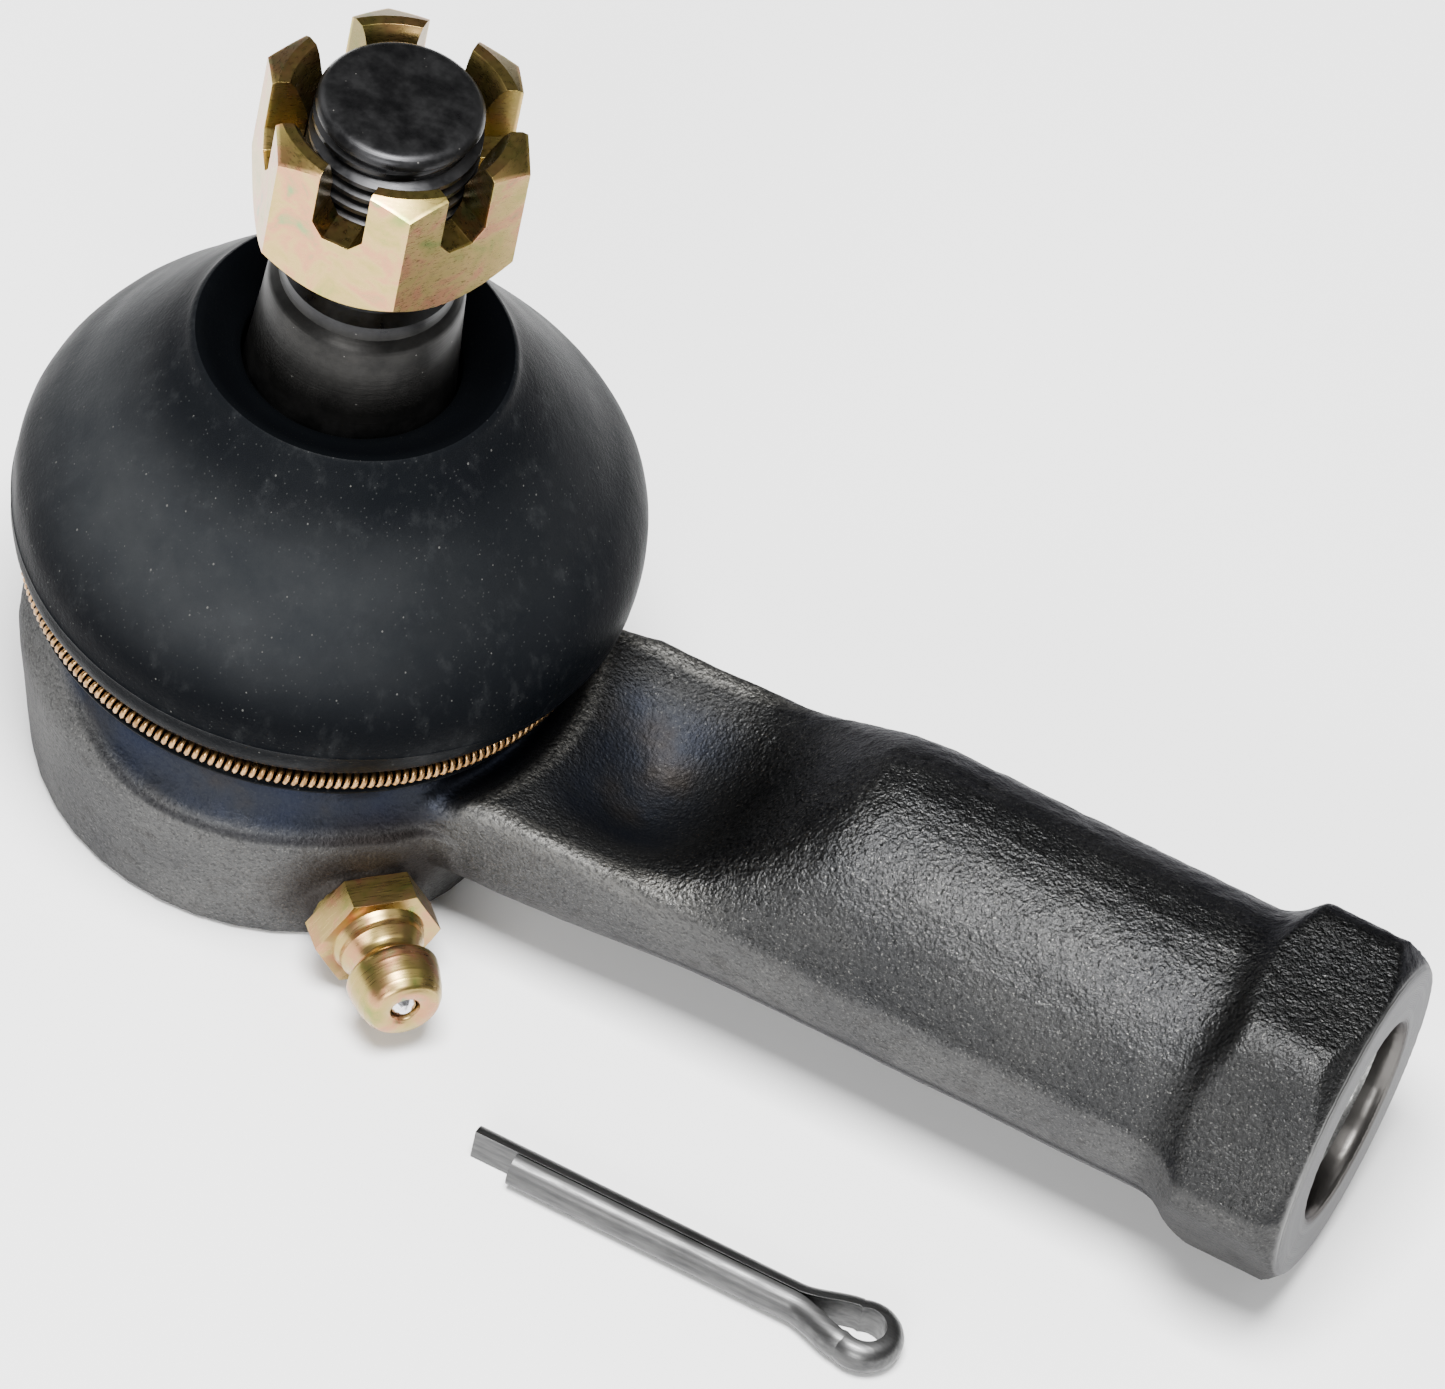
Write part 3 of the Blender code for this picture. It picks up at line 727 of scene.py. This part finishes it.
def pressed_plate():
    """The bottom plate: zinc on pressed sheet, with faint rings and dull patches."""
    r = Recipe("plate_steel", (0.4, 0.4, 0.41), 0.42, 0.95)
    rings = r.math("SINE", r.product(r.radius(), 9.0))
    dull = r.noise(4.0, 5.0, 0.65)
    surface = r.ramp(dull, [(0.3, (0.24, 0.24, 0.25)), (0.65, (0.42, 0.42, 0.42))])
    r.colour(r.mix(r.span(r.noise(1.2, 4.0), 0.6, 0.8, 0.0, 0.6), surface, (0.16, 0.13, 0.1)))
    r.rough(r.span(dull, 0.3, 0.7, 0.5, 0.34))
    height = r.total(r.product(rings, 0.2), r.noise(0.8, 3.0))
    r.normal(r.bump(height, 0.03, strength=0.6))
    return r.material


def polished():
    """The check ball, with hair scratches."""
    r = Recipe("ball_steel", (0.78, 0.78, 0.8), 0.14, 1.0)
    hairs = r.noise(0.3, 3.0, 0.6, place=r.moved(scale=(1, 4, 1)))
    r.rough(r.span(hairs, 0.3, 0.7, 0.1, 0.26))
    r.colour(r.ramp(hairs, [(0.3, (0.6, 0.6, 0.62)), (0.7, (0.82, 0.82, 0.84))]))
    return r.material


def sintered():
    """Oil-soaked sintered metal of the bearings inside the head."""
    r = Recipe("sintered_metal", (0.3, 0.26, 0.2), 0.55, 0.85)
    pores = r.cells(0.35)
    surface = r.ramp(r.noise(1.5, 4.0), [(0.3, (0.2, 0.17, 0.13)), (0.7, (0.36, 0.31, 0.24))])
    r.colour(r.mix(r.math("LESS_THAN", pores, 0.12), surface, (0.05, 0.04, 0.03)))
    r.rough(r.span(pores, 0.0, 0.6, 0.7, 0.45))
    r.normal(r.bump(pores, 0.04, strength=0.6))
    return r.material


FORGING = forging()
RUBBER = rubber("boot_rubber")
# The lip's funnel: the same rubber, darkened as painted shade.
SHADED_LIP_RUBBER = rubber("boot_rubber_lip_shaded", shine=0.1, tone=0.3)
NUT_ZINC = yellow_zinc("yellow_zinc_nut", (1, 1, 6), hollow_shade=nut_hollows)
FITTING_ZINC = yellow_zinc("yellow_zinc_fitting", (0.3, 0.3, 5), tone=0.7)
BLACK_OXIDE = black_oxide()
COPPER = wire("garter_copper", (0.2, 0.1, 0.034), (0.5, 0.3, 0.13), 0.28, hollow=garter_gap_shade)
PIN_STEEL = wire("pin_zinc", (0.06, 0.06, 0.061), (0.1, 0.1, 0.099), 0.36, marks=(0.12, 1, 1), size=0.3)
SPRING_STEEL = wire("spring_steel", (0.16, 0.16, 0.17), (0.36, 0.36, 0.37), 0.32)
SOCKET_STEEL = wire("socket_steel", (0.13, 0.13, 0.128), (0.32, 0.32, 0.31), 0.3)
PLATE = pressed_plate()
BALL_STEEL = polished()
SINTERED = sintered()


# ---------------------------------------------------------------- threads
def helix(low, high, pitch, steps):
    """The angle, height and share of the way up at each step of a helix."""
    turns = (high - low) / pitch
    count = int(turns * steps)
    for i in range(count + 1):
        a = 2 * math.pi * turns * i / count
        yield a, low + (high - low) * i / count, i / count


def thread_ridge(name, finish, root_r, crest_r, low, high, pitch, steps, inward=False):
    """One helical ridge, which sinks into its core at both ends."""
    rings = []
    lean = -1 if inward else 1
    buried = root_r - lean * 0.12
    half = pitch * 0.47
    flat = pitch * 0.14
    for a, z, share in helix(low, high, pitch, steps):
        fade = min(1.0, share * 20, (1 - share) * 20)
        crest = root_r + (crest_r - root_r) * fade
        outline = [(buried, -half), (crest, -flat), (crest, flat), (buried, half)]
        rings.append([(r * math.cos(a), r * math.sin(a), z + dz) for r, dz in outline])
    return skinned(name, rings, finish, sharp=40)


# ---------------------------------------------------------------- forged housing
HOUSING_VOXEL = 0.3


def smoothed(obj, name, weights, passes):
    """Smooths the mesh where weights, one number from 0 to 1 a point, say so."""
    group = obj.vertex_groups.new(name=name)
    for step in range(1, 11):
        chosen = np.flatnonzero(np.rint(weights * 10) == step)
        group.add(chosen.tolist(), step / 10, "REPLACE")
    soften = obj.modifiers.new(name, "SMOOTH")
    soften.factor = 0.5
    soften.iterations = passes
    soften.vertex_group = name
    applied(obj)


def machined_share(p):
    """Where the forging is bored, faced or turned, so that it stays crisp, from 0 to 1."""
    x, y, z = p.T
    from_stud = np.hypot(x, y)
    from_bore = np.hypot(y, z - SHANK_Z)
    end_face = soft_step(x, 79.4, 80.4)
    socket = soft_step(-from_bore, -8.6, -8.0) * (x > 40)
    neck = soft_step(z, 14.2, 15.2) * soft_step(-from_stud, -21.4, -20.6)
    head_bore = soft_step(-from_stud, -16.6, -16.0)
    underside = soft_step(-z, -0.8, -0.3)
    return np.maximum.reduce([end_face, socket, neck, head_bore, underside])


def hollow_share(p):
    """The hollow in the shank's top, behind the head."""
    x, y, z = p.T
    along = soft_step(x, 18.6, 20.5) * soft_step(-x, -36.0, -31.0)
    return along * soft_step(-np.abs(y), -9.2, -6.8) * soft_step(z, 10.5, 11.5)


def corner_share(p):
    """Round the two corners where the shank's flange runs into the head's neck."""
    x, y, z = p.T
    from_corner = np.sqrt((x - 18.2) ** 2 + (np.abs(y) - 10.0) ** 2 + (z - 13.4) ** 2)
    return soft_step(-from_corner, -5.5, -2.5)


def forged_lift(p):
    """How far a forged skin stands off its smooth shape: lumps, pits and the parting line."""
    x, y, z = p.T
    top = soft_step(z, 15.6, 16.8) * soft_step(np.hypot(x, y), 19.0, 22.0)
    lumps = 0.09 * field(p, 5.5, 1) + 0.045 * field(p, 2.0, 2)
    pits = 0.055 * field(p, 0.9, 3)
    side = soft_step(np.abs(y), 8.6, 10.2) * soft_step(x, 18.0, 23.0) * soft_step(-x, -76.0, -70.0)
    parting_z = 16.0 + 0.35 * field(p, 9.0, 4)
    parting = 0.24 * np.exp(-(((z - parting_z) / 0.42) ** 2)) * side
    return lumps * (0.45 + 0.55 * top) + pits * (0.4 + 0.6 * top) + parting


def ledge_lift(p):
    """The low ledge where the turned neck stops, which shows most beside the grease fitting."""
    x, y, z = p.T
    from_stud = np.hypot(x, y)
    azimuth = np.degrees(np.arctan2(y, x))
    ledge_z = LEDGE_Z + LEDGE_RISE * soft_step(np.abs(azimuth), *LEDGE_TURN)
    ledge_z += LEDGE_WAVE * np.sin(LEDGE_WAVES * np.radians(azimuth))
    by_fitting = soft_step(azimuth, -130, -90) * soft_step(-azimuth, 20, 32)
    on_head = soft_step(-from_stud, -21.5, -20.5) * soft_step(from_stud, 16.8, 17.2)
    return 0.28 * soft_step(ledge_z - z, -0.3, 0.3) * soft_step(z, 4.0, 10.0) * by_fitting * on_head


def forged_housing():
    """The frame's housing with a fine even mesh, so its edges and lumps are a forging's."""
    obj = copied("housing", "forged_housing")
    remesh = obj.modifiers.new("even", "REMESH")
    remesh.mode = "VOXEL"
    remesh.voxel_size = HOUSING_VOXEL * MM
    remesh.use_smooth_shade = True
    applied(obj)
    painted(obj, FORGING)

    p = verts_mm(obj.data)
    forged = 1.0 - machined_share(p)
    hollow = hollow_share(p)
    corner = corner_share(p)
    smoothed(obj, "forged", forged, passes=20)
    smoothed(obj, "hollow", hollow, passes=130)
    smoothed(obj, "corner", corner, passes=90)

    p = verts_mm(obj.data)
    lift = forged * forged_lift(p) + ledge_lift(p)
    set_verts_mm(obj.data, p + normals_of(obj.data) * lift[:, None])
    stand_in(obj, "housing", "forged_steel", "housing")


def socket_thread():
    thread = thread_ridge(
        "socket_thread",
        SOCKET_STEEL,
        root_r=7.24,
        crest_r=6.78,
        low=50.0,
        high=80.6,
        pitch=1.5,
        steps=72,
        inward=True,
    )
    aim(thread, (1, 0, 0), (0, 0, SHANK_Z))
    stand_in(thread, "housing", "forged_steel")


# ---------------------------------------------------------------- stud and nut
STUD_CORE_R = 5.15
STUD_CREST_R = 5.86


def lower_ball(foot=9.0, step=17.0 / 14, count=8):
    """The ball from its flat foot to just below its middle. The rest belongs to the half ball."""
    drops = [foot - step * i for i in range(count)]
    return [(math.sqrt(BALL_R**2 - drop**2), BALL_Z - drop) for drop in drops]


def stud_profile():
    ball = lower_ball()
    return [
        (0, ball[0][1]),
        *ball,
        (BALL_R, BALL_Z),
        (STUD_R, BALL_Z),
        (STUD_R, 40.2),
        (6.95, 46.0),
        (6.80, 48.7),
        (6.62, 49.1),
        (6.10, 49.55),
        (6.02, 50.0),
        (6.02, 50.7),
        (5.55, 51.0),
        (STUD_CORE_R, 51.3),
        (STUD_CORE_R, STUD_END_Z - 1.3),
        (5.6, STUD_END_Z - 1.05),
        (5.72, STUD_END_Z - 0.85),
        (5.7, STUD_END_Z - 0.6),
        (5.5, STUD_END_Z - 0.3),
        (5.25, STUD_END_Z - 0.1),
        (4.95, STUD_END_Z - 0.02),
        (4.6, STUD_END_Z),
        (0, STUD_END_Z),
    ]


def stud_pieces():
    stud = turned("turned_stud", stud_profile(), BLACK_OXIDE, facets=160, sharp=30)
    stand_in(stud, "stud", "hardened_steel", "ball_stud")
    thread = thread_ridge(
        "stud_thread",
        BLACK_OXIDE,
        root_r=STUD_CORE_R,
        crest_r=STUD_CREST_R,
        low=51.6,
        high=STUD_END_Z - 1.5,
        pitch=1.25,
        steps=96,
    )
    stand_in(thread, "stud", "hardened_steel")


def nut_blank():
    """A turned blank with a chamfered bore and crown, cut to a hexagon."""
    bore_r, blank_r = 6.0, 10.2
    profile = [
        (bore_r, NUT_LOW + 0.7),
        (bore_r + 0.75, NUT_LOW),
        (8.35, NUT_LOW),
        (blank_r, NUT_LOW + 2.1),
        (blank_r, NUT_HIGH - 1.1),
        (8.3, NUT_HIGH),
        (7.55, NUT_HIGH),
        (7.1, NUT_HIGH - 0.5),
        (bore_r + 0.25, NUT_HIGH - 2.4),
        (bore_r, NUT_HIGH - 3.2),
    ]
    nut = turned("castle_nut_body", profile, NUT_ZINC, facets=96, turn=0.4)
    corners = hexagon(NUT_CORNER_R, NUT_TURN)
    carve(nut, prism("nut_hexagon", corners, NUT_LOW - 1, NUT_HIGH + 1), "INTERSECT")
    return nut


def slot_cutter(angle, half=1.85, floor_half=0.95, floor_z=60.45, bevel=1.15, reach=14):
    """A bar through the nut, at an angle in degrees, that cuts two of its slots at once."""
    over_top = NUT_HIGH + 1
    outline = [
        (-half, over_top),
        (-half, floor_z + bevel),
        (-floor_half, floor_z),
        (floor_half, floor_z),
        (half, floor_z + bevel),
        (half, over_top),
    ]
    rings = [[(along, side, z) for side, z in outline] for along in (-reach, reach)]
    cutter = skinned("nut_slot", rings, None)
    cutter.rotation_euler.z = math.radians(angle)
    bpy.context.view_layer.update()
    return cutter


def nut_piece():
    nut = nut_blank()
    for number in range(3):
        carve(nut, slot_cutter(30 + 60 * number + NUT_TURN), "DIFFERENCE")
    painted(nut, NUT_ZINC)
    rounded(nut, 0.16, 3)
    stand_in(nut, "nut", "yellow_zinc", "castle_nut")


# ---------------------------------------------------------------- boot and garter
def boot_profile():
    """The boot's wall as a closed ring of (radius, height), up its outside and down its inside."""
    foot = [(18.25, 18.62), (19.7, 18.6), (20.0, 18.74), (20.06, 18.98), (19.85, 19.25)]
    groove = [(19.35, 19.45), (19.07, 19.85), (19.07, 20.3), (19.2, 20.7), (19.6, 21.0)]
    body = [
        (20.25, 21.25),
        (21.0, 22.1),
        (21.55, 23.2),
        (21.8, 24.35),
        (21.95, 24.6),
        (21.93, 24.85),
        (21.98, 26.2),
        (21.85, 27.7),
        (21.3, 29.3),
        (20.2, 31.1),
        (18.8, 32.8),
        (17.2, 34.9),
        (15.6, 36.9),
        (14.1, 38.75),
        (12.9, 40.3),
        (12.05, 41.35),
        (11.55, 42.05),
        (11.25, 42.6),
        (10.95, 42.86),
    ]
    lip = [(10.6, 42.87), (10.25, 42.7), (9.6, 42.2), (8.9, 41.75), (8.2, 41.45), (7.7, 41.4)]
    inside = [
        (7.6, 41.2),
        (7.6, 40.2),
        (8.3, 39.8),
        (11.2, 39.7),
        (14.3, 35.9),
        (17.6, 31.7),
        (19.8, 28.9),
        (20.5, 26.2),
        (20.2, 23.8),
        (18.9, 21.9),
        (18.25, 21.0),
    ]
    return foot + groove + spline(body, 3) + lip + inside


def settled(mesh):
    """Leans the full belly a little away from the head, as a boot settles, and makes it uneven."""
    p = verts_mm(mesh)
    n = normals_of(mesh)
    z = p[:, 2]
    belly = soft_step(z, 21.0, 26.0) * soft_step(-z, -42.0, -29.0)
    p[:, 0] += 0.5 * belly
    p[:, 1] += 0.26 * belly
    outside = soft_step(z, 21.2, 23.0) * soft_step(-z, -42.4, -41.0)
    sag = 0.16 * field(p, 13.0, 5) + 0.03 * field(p, 2.6, 6)
    set_verts_mm(mesh, p + n * (sag * outside)[:, None])


def boot_piece():
    boot = turned("rubber_boot", boot_profile(), RUBBER, facets=192, sharp=75)
    settled(boot.data)
    # The lip and its funnel take the rubber darkened as painted shade.
    boot.data.materials.append(SHADED_LIP_RUBBER)
    lip_foot_z, lip_r = 40.8, 10.8
    for face in boot.data.polygons:
        middle = face.center / MM
        face.material_index = int(middle.z > lip_foot_z and math.hypot(middle.x, middle.y) < lip_r)
    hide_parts("dust_boot")
    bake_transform(boot)


def garter_piece():
    """A close-wound coil bent into a ring round the boot's foot, pinched where its ends join."""
    coil_r, wire_r, wire_along = 0.54, 0.19, 0.22
    coils, steps, sides = 216, 14, 6
    join, pinch_turn, pinch_depth = math.radians(198), math.radians(1.6), 0.22
    turns = [2 * math.pi * k / sides for k in range(sides)]
    upward = Vector((0, 0, 1))
    rings = []
    for i in range(coils * steps):
        t = 2 * math.pi * i / (coils * steps)
        outward = Vector((math.cos(join + t), math.sin(join + t), 0))
        along = Vector((-outward.y, outward.x, 0))
        from_join = min(t, 2 * math.pi - t) / pinch_turn
        pinched_r = coil_r * (1.0 - pinch_depth * max(0.0, 1.0 - from_join))
        w = 2 * math.pi * i / steps
        spoke = outward * math.cos(w) + upward * math.sin(w)
        middle = outward * GARTER_R + upward * GARTER_Z + spoke * pinched_r
        rings.append(
            [middle + spoke * (wire_r * math.cos(b)) + along * (wire_along * math.sin(b)) for b in turns]
        )
    garter = skinned("garter_coils", rings, COPPER, sharp=80, closed=True)
    stand_in(garter, "boot_swivel", "garter_copper", "garter_spring")


# ---------------------------------------------------------------- grease fitting
def aim_fitting(obj):
    """Turns a piece made along Z onto the fitting's axis, which starts at the stud's."""
    aim(obj, (math.cos(FITTING_AZIMUTH), math.sin(FITTING_AZIMUTH), 0), (0, 0, FITTING_Z))


def fitting_hexagon():
    back, front = FITTING_HEX_BACK, FITTING_HEX_FRONT
    profile = [
        (0, back - 1.2),
        (3.7, back - 1.2),
        (3.7, back),
        (6.0, back),
        (6.0, front - 0.35),
        (4.15, front),
        (0, front),
    ]
    body = turned("fitting_hex", profile, FITTING_ZINC, facets=72, turn=0.4)
    carve(body, prism("fitting_hexagon", hexagon(FITTING_HEX_R), back - 3, front + 2), "INTERSECT")
    painted(body, FITTING_ZINC)
    rounded(body, 0.12, 2)
    aim_fitting(body)
    stand_in(body, "housing", "yellow_zinc")


def stem_profile():
    """The fitting's shank, neck and coupling head outside, and its mouth and bore inside."""
    front, tip = FITTING_HEX_FRONT, FITTING_TIP
    foot, bore_r, mouth_r, ball_seat = 15.4, 1.45, 1.0, CHECK_BALL_AT + 0.72
    return [
        (bore_r, foot),
        (2.8, foot),
        (2.8, front - 0.2),
        (3.35, front - 0.1),
        (3.2, front + 0.35),
        (3.02, front + 0.55),
        (2.98, front + 1.05),
        (2.75, front + 1.35),
        (2.45, front + 1.75),
        (2.36, front + 2.1),
        (2.40, front + 2.5),
        (2.72, front + 2.85),
        (3.18, front + 3.05),
        (3.3, front + 3.25),
        (3.3, front + 3.5),
        (3.22, front + 4.1),
        (3.0, tip - 1.25),
        (2.8, tip - 0.62),
        (2.52, tip - 0.18),
        (2.3, tip),
        (1.32, tip),
        (1.08, tip - 0.15),
        (mouth_r, tip - 0.4),
        (mouth_r, ball_seat),
        (bore_r, ball_seat - 0.6),
    ]


def lathe_ringed(profile, start, spacing=0.11, depth=0.018, least_r=2.0):
    """Adds fine tool rings to the outside of a profile from start on."""
    ringed = [profile[0]]
    for (r0, s0), (r1, s1) in zip(profile, profile[1:]):
        outside = s0 >= start and r0 > least_r
        steps = max(1, int(abs(s1 - s0) / spacing)) if outside else 1
        for k in range(1, steps + 1):
            ring = depth if k % 2 and k < steps else 0.0
            ringed.append((r0 + (r1 - r0) * k / steps - ring, s0 + (s1 - s0) * k / steps))
    return ringed


def fitting_stem():
    profile = lathe_ringed(stem_profile(), FITTING_HEX_FRONT + 0.3)
    stem = turned("fitting_stem", profile, FITTING_ZINC, facets=96, sharp=40)
    aim_fitting(stem)
    stand_in(stem, "housing", "yellow_zinc", "grease_fitting")


# ---------------------------------------------------------------- split pin
PIN_EYE_X = 58.8
PIN_EYE_Y = -24.87
PIN_TURN = 0.4
PIN_WIRE_R = 1.385
PIN_EYE_R = 1.45
PIN_HALF_GAP = 0.06


def pin_path():
    """The wire's middle line: up one leg, round the eye at the origin, and down the other."""
    throat, bow_end, steps = 5.4, 0.85, 14
    bow = []
    for i in range(steps):
        share = i / steps
        open_by = (PIN_EYE_R * 0.93 - PIN_HALF_GAP) * ease(share, 0, 1.12)
        bow.append((-throat + (throat - bow_end) * share, PIN_HALF_GAP + open_by))
    turns = [math.radians(a) for a in range(125, -130, -8)]
    eye = [(PIN_EYE_R * math.cos(a), PIN_EYE_R * math.sin(a)) for a in turns]
    long_leg = [(x, PIN_HALF_GAP) for x in (-30.2, -24.0, -14.0, -7.5)]
    short_leg = [(x, -PIN_HALF_GAP) for x in (-7.5, -14.0, -22.0, -26.9)]
    other_bow = [(x, -y) for x, y in reversed(bow)]
    return [Vector(point) for point in long_leg + bow + eye + other_bow + short_leg]


def pin_piece():
    """Half-round wire folded on itself, as the frame's, with rounded tips and a full eye."""
    path = pin_path()
    last = len(path) - 1
    turns = [math.pi * (k / 16 - 0.5) for k in range(17)]
    rings = []
    for i, point in enumerate(path):
        along = (path[min(i + 1, last)] - path[max(i - 1, 0)]).normalized()
        out = Vector((-along.y, along.x))
        ring = []
        for a in turns:
            corner = 1.0 - 0.04 * abs(math.sin(a)) ** 6
            place = point + out * PIN_WIRE_R * math.cos(a)
            ring.append((place.x, place.y, PIN_WIRE_R * (1 + corner * math.sin(a))))
        rings.append(ring)
    pin = skinned("split_pin", rings, PIN_STEEL, sharp=50)
    rounded(pin, 0.14, 3, 40)
    pin.location = Vector((PIN_EYE_X, PIN_EYE_Y, 0)) * MM
    pin.rotation_euler.z = math.radians(PIN_TURN)
    bpy.context.view_layer.update()
    stand_in(pin, "cotter", "pin_zinc", "cotter_pin")


# ---------------------------------------------------------------- springs and kept nodes
def flexible(node):
    """A stand-in for a spring of the housing's."""
    obj = copied(node, f"{node}_coils")
    painted(obj, SPRING_STEEL)
    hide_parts(node)
    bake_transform(obj)


def spring_pieces():
    flexible("preload_spring")
    flexible("fitting_spring")


def repaint(node, finish):
    """A better finish for a node that keeps its own shape."""
    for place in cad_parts[node].material_slots:
        place.material = finish


# ---------------------------------------------------------------- studio, in metres but for the floor
CAMERA_LENS = 337.93
CAMERA_AZIMUTH = math.radians(17.01)
CAMERA_HEIGHT = math.radians(48.58)
CAMERA_ROLL = math.radians(13.12)
CAMERA_TARGET = (0.0303, 0.0025, 0.0233)
CAMERA_DISTANCE = 0.930
LAMP_TARGET = (0.03, 0, 0.02)
WORLD_STRENGTH = 0.24
FLOOR_DROP = 0.02
FLOOR_HALF = 1500


def look():
    """The camera, from above and to the right, with a long lens."""
    camera = bpy.data.cameras.new("camera")
    camera.sensor_width = 36.0
    camera.lens = CAMERA_LENS
    camera.clip_start = 0.01
    obj = bpy.data.objects.new("camera", camera)
    bpy.context.scene.collection.objects.link(obj)
    back = Vector(
        (
            math.sin(CAMERA_AZIMUTH) * math.cos(CAMERA_HEIGHT),
            -math.cos(CAMERA_AZIMUTH) * math.cos(CAMERA_HEIGHT),
            math.sin(CAMERA_HEIGHT),
        )
    )
    level = Vector((math.cos(CAMERA_AZIMUTH), math.sin(CAMERA_AZIMUTH), 0))
    right = level * math.cos(CAMERA_ROLL) + back.cross(level) * math.sin(CAMERA_ROLL)
    turned_to = Matrix((right, back.cross(right), back)).transposed().to_4x4()
    obj.matrix_world = Matrix.Translation(Vector(CAMERA_TARGET) + back * CAMERA_DISTANCE) @ turned_to
    bpy.context.scene.camera = obj


def lamp(name, place, size, power):
    """A softbox of a width and height, pointed at the part."""
    light = bpy.data.lights.new(name, "AREA")
    light.shape = "RECTANGLE"
    light.size, light.size_y = size
    light.energy = power
    obj = bpy.data.objects.new(name, light)
    bpy.context.scene.collection.objects.link(obj)
    direction = Vector(LAMP_TARGET) - Vector(place)
    obj.matrix_world = Matrix.Translation(place) @ direction.to_track_quat("-Z", "Y").to_matrix().to_4x4()


def floor():
    """A wide pale floor, whose tone drifts slightly."""
    paper = Recipe("floor", (0.86, 0.86, 0.86), 0.8, 0.0)
    tone = paper.noise(60.0, 2.0)
    paper.colour(paper.ramp(tone, [(0.3, (0.85, 0.85, 0.85)), (0.7, (0.88, 0.88, 0.88))]))
    bm = bmesh.new()
    bmesh.ops.create_grid(bm, x_segments=1, y_segments=1, size=FLOOR_HALF)
    bmesh.ops.translate(bm, vec=(0, 0, -FLOOR_DROP), verts=bm.verts)
    link("floor", bm, paper.material)


def studio():
    floor()
    world = bpy.data.worlds.new("studio")
    bpy.context.scene.world = world
    world.use_nodes = True
    background = world.node_tree.nodes["Background"]
    background.inputs["Color"].default_value = (1, 1, 1, 1)
    background.inputs["Strength"].default_value = WORLD_STRENGTH
    lamp("top_softbox", (0.05, -0.26, 1.0), (0.42, 0.36), 40.0)
    lamp("front_softbox", (0.15, -0.9, 0.42), (0.5, 0.4), 10.0)
    lamp("left_softbox", (-0.75, 0.1, 0.45), (0.4, 0.5), 2.0)
    lamp("right_softbox", (0.6, 0.35, 0.75), (0.4, 0.4), 0.7)


look()
studio()
forged_housing()
socket_thread()
stud_pieces()
nut_piece()
boot_piece()
garter_piece()
fitting_hexagon()
fitting_stem()
pin_piece()
spring_pieces()
repaint("closure_plate", PLATE)
repaint("pressure_seat", SINTERED)
repaint("upper_bearing", SINTERED)
repaint("half_ball_bearing", BLACK_OXIDE)
repaint("check_ball", BALL_STEEL)
